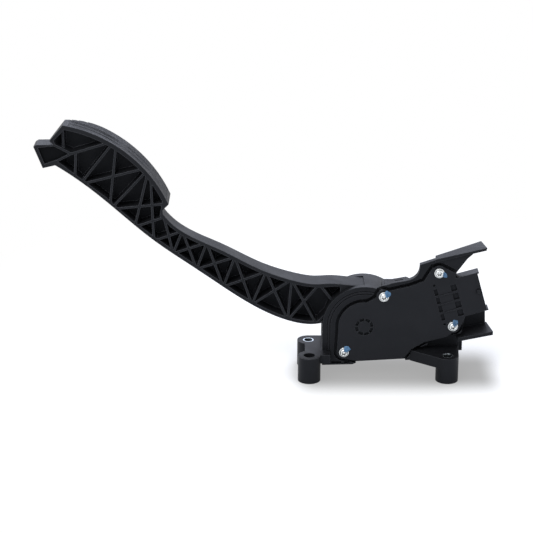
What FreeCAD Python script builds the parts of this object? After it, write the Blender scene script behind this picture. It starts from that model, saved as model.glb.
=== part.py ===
import FreeCAD, Part
import math
import os

# Electronic accelerator pedal: a ribbed pedal arm on a drum hub, sprung inside a moulded housing
# that carries a contactless angle sensor behind its front cover.
# X runs from the pad to the connector, Y from the cover to the back, Z up from the mounting plane.
# The origin is midway between the two left feet. Outline points are given from the pivot, as (x, z).

V = FreeCAD.Vector
os.makedirs("parts", exist_ok=True)

# Pivot of the pedal above the mounting plane
PIVOT_X = 42.6
PIVOT_Z = 40.8
PEDAL_TRAVEL = 17.0

# Mounting feet and their steel bushes
FOOT_SPACING_X = 107.0
FOOT_SPACING_Y = 32.0
FOOT_OD = 17.6
FOOT_HEIGHT = 20.5
BUSH_OD = 8.8
BUSH_BORE = 6.4
BUSH_SINK = 4.0
BASE_PLATE_T = 7.0
BASE_PLATE_NECK = 3.0
BRACKET_T = 8.6
BRACKET_START = 36.4
BRACKET_OVERHANG = 2.0
BRACKET_TANGENT = 240.0

# Depth of the housing and its wall layers
FRONT_Y = -5.8
COVER_T = 1.6
FRONT_WALL = 4.1
REAR_WALL = 5.8
DRUM_WIDTH = 19.5
SIDE_GAP = 0.7
FLANGE_DEPTH = 4.8
TRAY_DEPTH = 11.5
BLOCK_DEPTH = 17.4
RECESS_DEPTH = 8.4
BOLT_ROOM_DEPTH = 10.1
CHAMBER_WALL = 2.0

# Drum, cheeks, heel and spring chamber
DRUM_R = 31.5
DRUM_GAP = 0.6
CHEEK_LIP = 0.8
DRUM_START = 28.0
DRUM_END = 195.0
DRUM_RIM = 3.5
SPOKE_PITCH = 40.0
POCKET_EDGE = 6.0
HUB_R = 14.0
HEEL_BEYOND_DRUM = 12.9
HEEL_TOP = -7.3
HEEL_UNDER = -13.8
HEEL_CLEARANCE = 3.0
CHAMBER_TOP = 25.7
CHAMBER_FLOOR = -22.8
SILL_TOP = -16.8
SUMP_TOP = -14.6
SUMP_X = 29.0
LEDGE_INSETS = (3.3, 5.4)
LEDGE_WIDTH = 0.8
LEDGE_DEPTH = 0.9
LEDGE_END = 70.0
REAR_POCKET_R = (13.0, 28.5)
REAR_POCKET_DEPTH = 3.4
REAR_POCKET_COUNT = 8
REAR_RIB_ANGLE = 6.0
REAR_PANEL_EDGE = 2.2
REAR_PANEL_RIB = 1.2

# Pivot pin and bearing bushes
PIN_R = 5.0
PIN_NECK_DEPTH = 1.0
BEARING_WALL = 2.0
BEARING_BOSS_R = 10.0
BEARING_BOSS_LENGTH = 5.9
RUNNING_GAP = 0.05
PRESS_GAP = 0.02
FREE_GAP = 0.3
PIN_OVERHANG = 2.6
RETAINER_R = 8.5
RETAINER_T = 1.0
RETAINER_MOUTH = 7.0

# Sensor chamber, rotor and board
CHAMBER_DEPTH = 2.4
CHAMBER_ROUND_R = 15.5
BOARD_T = 0.8
BOARD_ROUND_R = 12.5
ROTOR_R = 11.5
ROTOR_T = 0.8
TARGET_T = 0.2
TARGET_R = (5.5, 10.7)
TARGET_COUNT = 6
SPIGOT_R = 3.0
CHIP_SIZE = (6.0, 1.2, 5.0)
CHIP_PLACES = ((24.0, -4.0), (24.0, 6.0))

# Cover screws, as places from the pivot
SCREW_PLACES = ((14.7, 24.9), (-15.4, -21.3), (56.8, 44.4), (68.7, 0.5))
SCREW_HEAD_R = 3.9
SCREW_HEAD_H = 2.4
SCREW_CROWN_R = 3.0
SCREW_WASHER_H = 0.9
SCREW_R = 1.9
SCREW_LENGTH = 5.4
SCREW_DRIVE_R = 1.7
SCREW_DRIVE_DEPTH = 1.3
SCREW_TIP_GAP = 0.4
SCREW_LOBE_R = 5.6

# Cover: round end at the pivot, groove round it, pivot mark and ladder of windows
COVER_ARC_R = 20.0
COVER_GROOVE = 2.4
COVER_GROOVE_DEPTH = 3.0
MARK_R = (4.8, 7.1)
MARK_COUNT = 8
MARK_GAP_ANGLE = 9.0
MARK_DEPTH = 1.3
LADDER_ROWS = 4
LADDER_PITCH = 7.1
LADDER_TOP = 11.7
LADDER_LEFT = (-18.3, -15.3)
LADDER_RIGHT = (-5.1, -0.4)
LADDER_BAR = 1.7
LADDER_DEPTH = 1.3
LADDER_DOT_R = 1.1
LADDER_DOT_SET = 3.3
LADDER_RAIL_T = 0.9
LADDER_RAIL_H = 0.4

# Connector, tilted about the middle of its root
CONNECTOR_X = 73.4
CONNECTOR_Z = 24.4
CONNECTOR_TILT = 16.0
CONNECTOR_HEIGHT = 32.3
CONNECTOR_DEPTH = 9.6
CONNECTOR_LENGTH = 17.5
CONNECTOR_ROOT = 6.0
CONNECTOR_BACK = 4.0
CONNECTOR_WALL = 1.8
CONNECTOR_GAP = 0.3
CONNECTOR_LIP = 1.3
CONNECTOR_LIP_T = 1.0
NUB_SIZE = (2.2, 1.2, 3.0)
NUB_SETBACK = 1.4
NUB_W = -0.5
TERMINAL_COUNT = 6
TERMINAL_PITCH = 4.0
TERMINAL_WIDTH = 1.5
TERMINAL_T = 0.8
TERMINAL_REACH = 5.0
TERMINAL_INNER = 10.0
TERMINAL_ROOM = 2.0

# Pedal arm and foot pad
ARM_DEPTH = 15.5
ARM_WALL = 2.5
ARM_WEB = 2.0
ARM_FLARE = (-125.0, -45.0)
RIB_T = 1.7
PAD_CENTRE = (-246.4, 56.6)
PAD_R = 104.6
PAD_TIP_ANGLE = 80.0
PAD_END_ANGLE = 23.0
PAD_POCKET_ANGLES = (79.0, 25.5)
PAD_T = 3.2
PAD_WIDTH = 27.5
PAD_TIP_WIDTH = 4.5
PAD_TIP_RUN = 46.0
PAD_TIP_BULGE = (0.28, 0.60)
PAD_TREAD_PITCH = 2.7
PAD_TREAD_GROOVE = 1.1
PAD_TREAD_DEPTH = 0.5
PAD_TREAD_EDGE = 2.0

# Springs, seat, stops and friction shoe
SPRING_R_OUTER = 6.2
SPRING_WIRE_OUTER = 1.6
SPRING_R_INNER = 3.9
SPRING_WIRE_INNER = 1.1
SPRING_TURNS = 4.5
SPRING_SIDES = 12
SPRING_END_GAP = 0.15
SEAT_R = 8.0
SEAT_T = 2.0
SEAT_SPIGOT_R = 2.6
SEAT_SPIGOT_H = 3.0
SHOE_T = 4.0
SHOE_EDGE = 1.0
SHOE_DROP = 4.1
SHOE_TRUNNION_R = 1.8
SHOE_TRUNNION_REACH = 1.2
SHOE_TRUNNION_SET = 6.9
REST_STOP_R = 4.0
FULL_STOP_R = 4.0
FULL_STOP_X = -20.6

# Guards on the right of the housing, and the rail at its back
GUARD_T = 2.0
TONGUE_RIB_Y = 0.4
RAIL_X = (20.0, 78.7)
RAIL_Z = (-27.6, -18.9)
RAIL_SETBACK = 2.0

# Lid in the tray on the roof
LID_LENGTH = 16.4
LID_WIDTH = 6.8
LID_T = 1.8
LID_GAP = 0.15
LID_START = (15.4, 33.7)
LID_SLOPE = 10.2
LID_SLOT = (7.0, 1.4)
LID_SLOT_EDGE = 1.6

# Outlines of the housing, from the pivot
RIDGE = (
    (17.7, 34.2), (23.5, 36.0), (31.1, 37.3), (34.9, 38.3),
    (37.9, 39.9), (40.5, 42.8), (41.8, 46.8), (42.0, 50.4),
)
FRONT_RIGHT = (
    (53.4, 54.3), (70.5, 58.4), (70.5, 41.0), (79.0, 8.5), (75.4, -6.0), (64.4, -9.0),
    (46.6, -13.5), (36.4, -19.7),
)
FRONT_FOOT = ((37.2, -28.4), (-5.6, -30.9), (-8.6, -32.2))
CHEEK_FOOT = -32.8
RIDGE_START = 72.0
BLOCK = (
    (35.0, 20.0), (47.0, 28.2), (52.0, 34.0), (60.0, 39.0), (70.5, 41.0), (79.0, 8.5),
    (75.4, -6.0), (64.4, -8.5), (35.0, -16.0),
)
TRAY = ((13.5, 24.0), (13.5, 33.4), (32.4, 36.8), (35.8, 35.1), (38.0, 30.0), (38.0, 24.0))
BOLT_ROOM = ((48.0, -28.3), (75.4, -28.3), (75.4, -5.0), (48.0, -11.0))
RECESS_WALL = ((32.0, -28.3), (50.0, -28.3), (50.0, -14.8), (32.0, -14.8))
CHAMBER_FRONT = ((32.0, -16.6), (50.0, -16.6), (50.0, -8.0), (32.0, -8.0))
TONGUE = ((51.0, 52.4), (92.2, 62.6), (92.7, 64.7), (51.0, 54.8))
TONGUE_PLAN = ((53.4, 0.0), (92.7, 0.0), (90.1, 18.4), (54.2, 8.4))
TONGUE_GUSSET = ((69.5, 57.0), (83.1, 60.1), (76.0, 53.4), (71.2, 47.6), (69.5, 40.8))
TONGUE_RIB = ((57.5, 37.0), (69.5, 40.0), (84.0, 60.3), (60.5, 54.4))
SHELF = ((73.0, -12.4), (100.1, -6.8), (100.1, -3.9), (73.0, -9.4))
SHELF_PLAN = ((73.0, 0.0), (100.1, 0.0), (97.4, 22.0), (73.0, 22.0))
GUARD_WALL = ((74.0, -11.3), (96.4, -6.6), (95.6, 9.0), (74.0, 9.0))
FOOT_WINDOWS = ((-30.3, -27.6), (-25.2, -17.2), (-15.2, -10.6))
FOOT_WINDOW_Z = (-31.4, -29.6)
FOOT_WINDOW_DEPTH = 2.0

# Outlines of the cover, sensor chamber and board, from the pivot
COVER_BODY = (
    (-19.9, -2.0), (-21.0, -21.3), (-15.4, -26.9), (-5.6, -28.6), (31.4, -26.4), (36.8, -19.0),
    (46.8, -12.9), (64.0, -8.4), (74.3, 0.0), (77.6, 8.0), (69.4, 38.0), (69.4, 44.0), (62.0, 48.0),
    (51.7, 48.6), (45.2, 37.5), (34.6, 33.4), (19.3, 29.7), (0.0, 19.0),
)
CHAMBER_BODY = (
    (0.0, -15.5), (36.0, -12.0), (61.0, -0.5), (70.5, 11.0), (64.5, 33.5), (47.0, 34.5),
    (40.0, 30.0), (0.0, 15.5),
)
BOARD_BODY = (
    (0.0, -11.0), (36.0, -9.0), (60.0, 1.0), (69.0, 11.5), (63.5, 32.0), (48.0, 33.0),
    (40.0, 27.5), (0.0, 11.0),
)

# Outlines and truss of the pedal arm, from the pivot
ARM_TOP = (
    (-145.2, 79.6), (-110.3, 60.7), (-82.0, 45.7), (-52.4, 35.2), (-38.6, 32.9),
    (-26.6, 33.4), (-12.0, 32.2),
)
ARM_UNDER = (
    (-40.3, -0.3), (-57.2, 2.3), (-90.1, 17.8), (-127.0, 43.5), (-163.3, 69.8), (-199.0, 101.4),
)
ARM_UNDER_END = (-235.0, 128.5)
ARM_ROOT = 1.0
LUG = ((-244.4, 126.3), (-250.8, 143.0), (-248.6, 144.4), (-235.8, 144.6))
LUG_APEX = (-222.6, 137.5)
LUG_POCKET = ((-234.4, 132.6), (-243.0, 129.5), (-247.6, 142.2), (-233.8, 143.6), (-235.5, 147.7))
PAD_TIP_FOOT = (-238.7, 147.6)
PAD_HEEL = ((-154.8, 92.9), (-154.5, 89.7))
HEEL_POCKET = (-157.0, 88.7)
POCKET_ROOT = -18.6
UNDER_STATIONS = (
    (-161.0, 68.6), (-147.4, 58.1), (-129.5, 45.2), (-109.1, 30.8), (-87.0, 16.0), (-59.2, 2.9),
    (-37.0, -0.3),
)
TOP_STATIONS = (
    (-154.0, 88.0), (-140.1, 76.0), (-121.6, 66.5), (-100.1, 55.0), (-76.1, 43.0), (-56.4, 36.4),
    (-35.0, 32.8),
)
ROOT_RIBS = (((-35.0, 32.8), (-16.0, 8.0)), ((-37.0, -0.3), (-14.0, 26.0)))
PAD_RIBS = (
    (LUG[3], LUG_APEX), (LUG_APEX, LUG[0]), (LUG_APEX, (-196.0, 145.5)),
    ((-219.0, 138.5), (-220.5, 117.5)), ((-215.5, 115.0), (-192.5, 144.0)),
    ((-194.5, 98.0), (-189.0, 141.5)), ((-214.5, 114.0), (-170.0, 125.3)),
    ((-192.5, 95.5), (-167.5, 122.5)), ((-176.0, 80.6), (-166.0, 120.0)),
    ((-191.0, 94.0), (-154.0, 97.8)), ((-162.0, 68.6), (-163.2, 116.0)),
    ((-175.0, 80.0), (-155.0, 86.8)),
)
LOW_RIB = ((-228.6, 140.0), (-228.6, 160.0))
LOW_RIB_DROP = 3.0

# Planes and sizes worked out from the values above
CHEEK_R = DRUM_R + CHEEK_LIP
COVER_FRONT = FRONT_Y - COVER_T
CHEEK_IN_FRONT = FRONT_Y + FRONT_WALL
DRUM_Y0 = CHEEK_IN_FRONT + SIDE_GAP
DRUM_Y1 = DRUM_Y0 + DRUM_WIDTH
CHEEK_IN_REAR = DRUM_Y1 + SIDE_GAP
REAR_Y = CHEEK_IN_REAR + REAR_WALL
BLOCK_REAR = FRONT_Y + BLOCK_DEPTH
DRUM_MID = (DRUM_Y0 + DRUM_Y1) / 2
CHAMBER_BACK = FRONT_Y + CHAMBER_DEPTH
PIN_FRONT = CHAMBER_BACK - FREE_GAP
RETAINER_Y = REAR_Y + FREE_GAP
WEB_Y = DRUM_Y0 + ARM_DEPTH - ARM_WEB
FOOT_R = FOOT_OD / 2
FOOT_HALF = FOOT_SPACING_Y / 2
FEET = ((0.0, -FOOT_HALF), (0.0, FOOT_HALF), (FOOT_SPACING_X, -FOOT_HALF))
HEEL_REACH = DRUM_R + HEEL_BEYOND_DRUM
CHAMBER_END = HEEL_REACH + HEEL_CLEARANCE
SPRING_X = HEEL_REACH - SEAT_R
SEAT_TOP = HEEL_TOP + SEAT_T
SHOE_TOP = CHAMBER_TOP - FREE_GAP
SHOE_UNDER = SHOE_TOP - SHOE_T
SHOE_TRUNNION = (SPRING_X - SHOE_TRUNNION_SET, SHOE_TOP - SHOE_T / 2)
LID_MID = FRONT_Y + TRAY_DEPTH / 2
FAR = 400.0


def at(x, z, y=0.0):
    return V(PIVOT_X + x, y, PIVOT_Z + z)


def polar(radius, angle, centre=(0.0, 0.0)):
    turn = math.radians(angle)
    return (centre[0] + radius * math.cos(turn), centre[1] + radius * math.sin(turn))


def outline(start, steps, y):
    """Closed face: a step of one point is a line, two are an arc, more are a smooth curve."""
    edges = []
    here = at(start[0], start[1], y)
    for step in steps:
        points = [at(x, z, y) for x, z in step]
        if len(points) == 1:
            edges.append(Part.makeLine(here, points[0]))
        elif len(points) == 2:
            edges.append(Part.Arc(here, points[0], points[1]).toShape())
        else:
            curve = Part.BSplineCurve()
            curve.interpolate([here] + points)
            edges.append(curve.toShape())
        here = points[-1]
    edges.append(Part.makeLine(here, at(start[0], start[1], y)))
    return Part.Face(Part.Wire(edges))


def lines(points):
    """Steps of straight lines through the points."""
    return [(point,) for point in points]


def slab(start, steps, y0, y1):
    return outline(start, steps, y0).extrude(V(0, y1 - y0, 0))


def polygon(points, y0, y1):
    return slab(points[0], lines(points[1:]), y0, y1)


def rod(x, z, radius, y0, y1):
    return Part.makeCylinder(radius, y1 - y0, at(x, z, y0), V(0, 1, 0))


def tube(outer, inner, y0, y1):
    return rod(0, 0, outer, y0, y1).cut(rod(0, 0, inner, y0, y1))


def block(x0, x1, y0, y1, z0, z1):
    return Part.makeBox(x1 - x0, y1 - y0, z1 - z0, at(x0, z0, y0))


def bar(a, b, thickness, y0, y1):
    """Straight rib of the given thickness along the line from a to b."""
    (ax, az), (bx, bz) = a, b
    share = thickness / 2 / math.hypot(bx - ax, bz - az)
    nx = (az - bz) * share
    nz = (bx - ax) * share
    return polygon(((ax + nx, az + nz), (bx + nx, bz + nz), (bx - nx, bz - nz), (ax - nx, az - nz)), y0, y1)


def sector(r0, r1, a0, a1, y0, y1):
    """Part of a ring about the pivot, from angle a0 to a1."""
    mid = (a0 + a1) / 2
    steps = [(polar(r1, mid), polar(r1, a1)), (polar(r0, a1),), (polar(r0, mid), polar(r0, a0))]
    return slab(polar(r1, a0), steps, y0, y1)


def flat_plate(points, z0, z1):
    """Plate with a plan outline given in (x, y)."""
    corners = [V(x, y, z0) for x, y in points]
    return Part.Face(Part.makePolygon(corners + corners[:1])).extrude(V(0, 0, z1 - z0))


def tapered(points, plan):
    """Slab behind the plane of the cover, cut to a plan of (x from the pivot, depth)."""
    corners = [(PIVOT_X + x, COVER_FRONT + depth) for x, depth in plan]
    return polygon(points, COVER_FRONT, FAR).common(flat_plate(corners, -FAR, FAR))


def fuse(shapes):
    return shapes[0].multiFuse(shapes[1:]).removeSplitter()


def tilted(u0, u1, w0, w1, y0, y1):
    """Box in the connector's own axes: u out of its mouth, w across it."""
    box = Part.makeBox(u1 - u0, y1 - y0, w1 - w0, V(u0, y0, w0))
    box.rotate(V(0, 0, 0), V(0, 1, 0), -CONNECTOR_TILT)
    box.translate(at(CONNECTOR_X, CONNECTOR_Z))
    return box


def tilted_place(u, w):
    """A point in the connector's axes, as (x, z) from the pivot."""
    turn = math.radians(CONNECTOR_TILT)
    return (CONNECTOR_X + u * math.cos(turn) - w * math.sin(turn),
            CONNECTOR_Z + u * math.sin(turn) + w * math.cos(turn))


def single(shape):
    """The one solid of a shape that came out of a boolean as a compound."""
    return shape.Solids[0] if len(shape.Solids) == 1 else shape


def cover_plate(y0, y1, grow=0.0):
    """Outline of the cover with a round end at the pivot and a lobe at each screw, grown all round."""
    middle = outline(COVER_BODY[0], lines(COVER_BODY[1:]), y0)
    if grow:
        middle = middle.makeOffset2D(grow, 2)
    lobes = [rod(x, z, SCREW_LOBE_R + grow, y0, y1) for x, z in SCREW_PLACES]
    return fuse([middle.extrude(V(0, y1 - y0, 0)), rod(0, 0, COVER_ARC_R + grow, y0, y1)] + lobes)


def housing_front():
    """Front wall and flange: round over the cheek, then the ridge that sweeps up to the tongue."""
    over = polar(CHEEK_R, (180.0 + RIDGE_START) / 2)
    steps = [(over, polar(CHEEK_R, RIDGE_START)), (RIDGE[0],), RIDGE[1:]]
    steps += lines(FRONT_RIGHT + FRONT_FOOT + ((-CHEEK_R, CHEEK_FOOT),))
    return slab((-CHEEK_R, 0.0), steps, FRONT_Y, FRONT_Y + FLANGE_DEPTH)


def housing_body():
    """Cheeks and spring chamber over the full depth, with the sensor block and the tray beside them."""
    roof = CHAMBER_TOP + CHAMBER_WALL
    right = CHAMBER_END + CHAMBER_WALL
    roof_angle = math.degrees(math.asin(roof / CHEEK_R))
    steps = [(polar(CHEEK_R, (180.0 + roof_angle) / 2), polar(CHEEK_R, roof_angle))]
    steps += lines(((right, roof), (right, BLOCK[-1][1]), FRONT_RIGHT[-1]))
    steps += lines(FRONT_FOOT + ((-CHEEK_R, CHEEK_FOOT),))
    body = slab((-CHEEK_R, 0.0), steps, FRONT_Y, REAR_Y)
    recess = polygon(RECESS_WALL, FRONT_Y + RECESS_DEPTH, REAR_Y)
    chamber_front = polygon(CHAMBER_FRONT, CHAMBER_BACK, REAR_Y)
    bolt_wall = polygon(BOLT_ROOM, FRONT_Y + BOLT_ROOM_DEPTH, BLOCK_REAR)
    sensor_block = polygon(BLOCK, FRONT_Y, BLOCK_REAR)
    tray = polygon(TRAY, FRONT_Y, FRONT_Y + TRAY_DEPTH)
    return [body, recess, chamber_front, bolt_wall, sensor_block, tray]


def drum_space():
    """Room between the cheeks for the drum, the heel and the springs."""
    y0, y1 = CHEEK_IN_FRONT, CHEEK_IN_REAR
    disc = rod(0, 0, DRUM_R + DRUM_GAP, y0, y1)
    floor = block(-FAR, FAR, y0, y1, -FAR, CHAMBER_FLOOR)
    chamber = block(0, CHAMBER_END, y0, y1, SUMP_TOP, CHAMBER_TOP)
    sump = block(0, CHAMBER_END, FRONT_Y + RECESS_DEPTH + CHAMBER_WALL, y1, CHAMBER_FLOOR, SUMP_TOP)
    sump_mouth = block(0, SUMP_X, y0, y1, CHAMBER_FLOOR, SUMP_TOP)
    mouth = block(-CHEEK_R - DRUM_GAP, 0, y0, y1, SILL_TOP, CHEEK_R + DRUM_GAP)
    stop_well = block(FULL_STOP_X - FULL_STOP_R - FREE_GAP, 0, y0, y1, CHAMBER_FLOOR, SILL_TOP)
    return disc.cut(floor).fuse([chamber, sump, sump_mouth, mouth, stop_well])


def housing_base():
    """Feet, the plate that ties the left pair, the bracket to the right foot and the rear rail."""
    inner = PIVOT_X - CHEEK_R + REAR_WALL
    start = PIVOT_X + BRACKET_START
    right = FOOT_SPACING_X + FOOT_R
    tangent = polar(FOOT_R, BRACKET_TANGENT, FEET[2])
    left_plate = flat_plate(
        ((0, -FOOT_HALF), (inner, -FOOT_HALF), (inner, FOOT_HALF + FOOT_R), (0, FOOT_HALF + FOOT_R),
         (-FOOT_R, FOOT_HALF), (-BASE_PLATE_NECK, FOOT_HALF), (-BASE_PLATE_NECK, -FOOT_HALF)),
        FOOT_HEIGHT - BASE_PLATE_T, FOOT_HEIGHT)
    bracket = flat_plate(
        ((start, FRONT_Y), tangent, (right, -FOOT_HALF), (right + BRACKET_OVERHANG, BLOCK_REAR),
         (start, BLOCK_REAR)),
        FOOT_HEIGHT - BRACKET_T, FOOT_HEIGHT)
    rail = block(RAIL_X[0], RAIL_X[1], BLOCK_REAR, REAR_Y - RAIL_SETBACK, RAIL_Z[0], RAIL_Z[1])
    posts = [Part.makeCylinder(FOOT_R, FOOT_HEIGHT, V(x, y, 0)) for x, y in FEET]
    return [left_plate, bracket, rail] + posts


def guards():
    """Tongue over the connector with its gusset and rib, and the shelf and wall below it."""
    tongue = tapered(TONGUE, TONGUE_PLAN)
    gusset = polygon(TONGUE_GUSSET, FRONT_Y, FRONT_Y + GUARD_T)
    rib = polygon(TONGUE_RIB, TONGUE_RIB_Y, TONGUE_RIB_Y + GUARD_T)
    shelf = tapered(SHELF, SHELF_PLAN)
    shelf_back = COVER_FRONT + SHELF_PLAN[2][1]
    wall = polygon(GUARD_WALL, shelf_back - GUARD_T, shelf_back)
    return [tongue, gusset, rib, shelf, wall]


def lid_room(gap, height):
    """Room of the lid in the sloping tray, grown by gap on its four sides."""
    width = LID_WIDTH + 2 * gap
    box = Part.makeBox(LID_LENGTH + 2 * gap, width, height, V(-gap, LID_MID - width / 2, -LID_T))
    box.rotate(V(0, 0, 0), V(0, 1, 0), -LID_SLOPE)
    box.translate(at(LID_START[0], LID_START[1]))
    return box


def ledge(inset):
    """Fine step in the front cheek: round over the top, then straight down the left side."""
    r0 = CHEEK_R - inset - LEDGE_WIDTH
    r1 = CHEEK_R - inset
    y1 = FRONT_Y + LEDGE_DEPTH
    arc = sector(r0, r1, LEDGE_END, 180.0, FRONT_Y, y1)
    return arc.fuse(block(-r1, -r0, FRONT_Y, y1, FOOT_WINDOW_Z[1], 0.0))


def rear_pockets():
    """Pockets between the ribs that stiffen the rear cheek and the back of the spring chamber."""
    pitch = 360.0 / REAR_POCKET_COUNT
    y0 = REAR_Y - REAR_POCKET_DEPTH
    pockets = []
    for index in range(REAR_POCKET_COUNT):
        start = index * pitch + REAR_RIB_ANGLE / 2
        pockets.append(sector(*REAR_POCKET_R, start, start + pitch - REAR_RIB_ANGLE, y0, REAR_Y))
    left = CHEEK_R + REAR_PANEL_EDGE
    right = CHAMBER_END + CHAMBER_WALL - REAR_PANEL_EDGE
    pockets.append(block(left, right, y0, REAR_Y, REAR_PANEL_RIB, CHAMBER_TOP))
    pockets.append(block(left, right, y0, REAR_Y, CHAMBER_FLOOR, -REAR_PANEL_RIB))
    return pockets


def build_housing():
    body = housing_front().fuse(housing_body() + housing_base() + guards())
    body = body.cut(drum_space())
    bosses = [
        rod(0, 0, BEARING_BOSS_R, CHAMBER_BACK, CHEEK_IN_FRONT + BEARING_BOSS_LENGTH),
        rod(0, 0, BEARING_BOSS_R, CHEEK_IN_REAR - BEARING_BOSS_LENGTH, REAR_Y),
    ]
    body = body.fuse(bosses)
    groove_floor = FRONT_Y + COVER_GROOVE_DEPTH
    groove = cover_plate(FRONT_Y, groove_floor, COVER_GROOVE).cut(cover_plate(FRONT_Y, groove_floor))
    chamber = polygon(CHAMBER_BODY, FRONT_Y, CHAMBER_BACK)
    chamber = chamber.fuse(rod(0, 0, CHAMBER_ROUND_R, FRONT_Y, CHAMBER_BACK))
    half = CONNECTOR_HEIGHT / 2 + CONNECTOR_GAP
    connector_back = COVER_FRONT + CONNECTOR_DEPTH
    neck = tilted(-CONNECTOR_ROOT - CONNECTOR_GAP, CONNECTOR_LENGTH + CONNECTOR_LIP, -half, half,
                  COVER_FRONT, connector_back + CONNECTOR_GAP)
    pins_half = TERMINAL_PITCH * TERMINAL_COUNT / 2
    pins_room = tilted(-TERMINAL_INNER - TERMINAL_ROOM, 0, -pins_half, pins_half, FRONT_Y,
                       connector_back - TERMINAL_ROOM)
    window_floor = FRONT_Y + FOOT_WINDOW_DEPTH
    windows = [block(x0, x1, FRONT_Y, window_floor, *FOOT_WINDOW_Z) for x0, x1 in FOOT_WINDOWS]
    bores = [rod(0, 0, PIN_R + BEARING_WALL, CHAMBER_BACK, REAR_Y)]
    screw_end = COVER_FRONT + SCREW_LENGTH + SCREW_TIP_GAP
    bores += [rod(x, z, SCREW_R + PRESS_GAP, FRONT_Y, screw_end) for x, z in SCREW_PLACES]
    bores += [Part.makeCylinder(BUSH_OD / 2, FOOT_HEIGHT, V(x, y, 0)) for x, y in FEET]
    trunnions = rod(*SHOE_TRUNNION, SHOE_TRUNNION_R + PRESS_GAP, CHEEK_IN_FRONT - SHOE_TRUNNION_REACH,
                    CHEEK_IN_REAR + SHOE_TRUNNION_REACH)
    cuts = [groove, chamber, neck, pins_room, trunnions, lid_room(LID_GAP, FAR)]
    cuts += windows + bores + rear_pockets() + [ledge(inset) for inset in LEDGE_INSETS]
    return single(body.cut(cuts).removeSplitter())


def pivot_mark():
    """Ring of short recesses round the pivot."""
    pitch = 360.0 / MARK_COUNT
    length = pitch - MARK_GAP_ANGLE
    y1 = COVER_FRONT + MARK_DEPTH
    starts = [index * pitch for index in range(MARK_COUNT)]
    return [sector(*MARK_R, start, start + length, COVER_FRONT, y1) for start in starts]


def ladder():
    """Two columns of windows beside the connector, with a dot at each end of the left one."""
    y1 = COVER_FRONT + LADDER_DEPTH
    windows = []
    for row in range(LADDER_ROWS):
        top = LADDER_TOP - row * LADDER_PITCH
        bottom = top - LADDER_PITCH + LADDER_BAR
        windows.append(tilted(*LADDER_LEFT, bottom, top, COVER_FRONT, y1))
        windows.append(tilted(*LADDER_RIGHT, bottom, top, COVER_FRONT, y1))
    column = sum(LADDER_LEFT) / 2
    for w in (LADDER_TOP + LADDER_DOT_SET, bottom - LADDER_DOT_SET):
        windows.append(rod(*tilted_place(column, w), LADDER_DOT_R, COVER_FRONT, y1))
    return windows


def ladder_rails():
    """Low bars that join the two columns, one between each pair of rows."""
    rails = []
    for row in range(1, LADDER_ROWS):
        w = LADDER_TOP - row * LADDER_PITCH + LADDER_BAR / 2
        rails.append(tilted(LADDER_LEFT[1], LADDER_RIGHT[0], w - LADDER_RAIL_T / 2, w + LADDER_RAIL_T / 2,
                            COVER_FRONT - LADDER_RAIL_H, COVER_FRONT))
    return rails


def build_sensor_cover():
    wall = CONNECTOR_WALL
    half = CONNECTOR_HEIGHT / 2
    y0, y1 = COVER_FRONT, COVER_FRONT + CONNECTOR_DEPTH
    mouth = CONNECTOR_LENGTH
    shroud = tilted(-CONNECTOR_ROOT, mouth, -half, half, y0, y1)
    lip_places = (-half, half - CONNECTOR_LIP_T)
    lips = [tilted(mouth - wall, mouth + CONNECTOR_LIP, w, w + CONNECTOR_LIP_T, y0, y1) for w in lip_places]
    length, height, width = NUB_SIZE
    nub_end = mouth - NUB_SETBACK
    nub = tilted(nub_end - length, nub_end, NUB_W, NUB_W + width, y0 - height, y0)
    body = fuse([cover_plate(y0, FRONT_Y), shroud, nub] + lips + ladder_rails())
    socket_floor = CONNECTOR_BACK - CONNECTOR_ROOT
    socket = tilted(socket_floor, FAR, -half + wall, half - wall, y0 + wall, y1 - wall)
    holes = [rod(x, z, SCREW_R + FREE_GAP, y0, FRONT_Y) for x, z in SCREW_PLACES]
    pins = [terminal(index) for index in range(TERMINAL_COUNT)]
    return single(body.cut([socket] + holes + pivot_mark() + ladder() + pins).removeSplitter())


def terminal(index):
    """One terminal: a blade into the socket with a leg to the board."""
    w = (index - (TERMINAL_COUNT - 1) / 2) * TERMINAL_PITCH
    y = COVER_FRONT + CONNECTOR_DEPTH / 2
    half = TERMINAL_WIDTH / 2
    inner = -TERMINAL_INNER
    rise = TERMINAL_T / 2
    blade = tilted(inner, TERMINAL_REACH, w - half, w + half, y - rise, y + rise)
    leg = tilted(inner, inner + TERMINAL_T, w - half, w + half, FRONT_Y + BOARD_T, y)
    return fuse([blade, leg])


def build_connector_pins():
    return Part.makeCompound([terminal(index) for index in range(TERMINAL_COUNT)])


def build_circuit_board():
    y1 = FRONT_Y + BOARD_T
    return fuse([polygon(BOARD_BODY, FRONT_Y, y1), rod(0, 0, BOARD_ROUND_R, FRONT_Y, y1)])


def build_signal_chips():
    y = FRONT_Y + BOARD_T
    length, height, width = CHIP_SIZE
    return Part.makeCompound([block(x, x + length, y, y + height, z, z + width) for x, z in CHIP_PLACES])


def arm_face(y):
    tip = polar(PAD_R, PAD_TIP_ANGLE, PAD_CENTRE)
    end = polar(PAD_R, PAD_END_ANGLE, PAD_CENTRE)
    mid = polar(PAD_R, (PAD_TIP_ANGLE + PAD_END_ANGLE) / 2, PAD_CENTRE)
    steps = [(mid, end)] + lines(PAD_HEEL)
    steps += [ARM_TOP + ((0.0, DRUM_R),), ((0.0, ARM_ROOT),), ((-DRUM_R, ARM_ROOT),)]
    steps += [ARM_UNDER + (ARM_UNDER_END,)] + lines(LUG) + [(PAD_TIP_FOOT,)]
    return outline(tip, steps, y)


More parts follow.
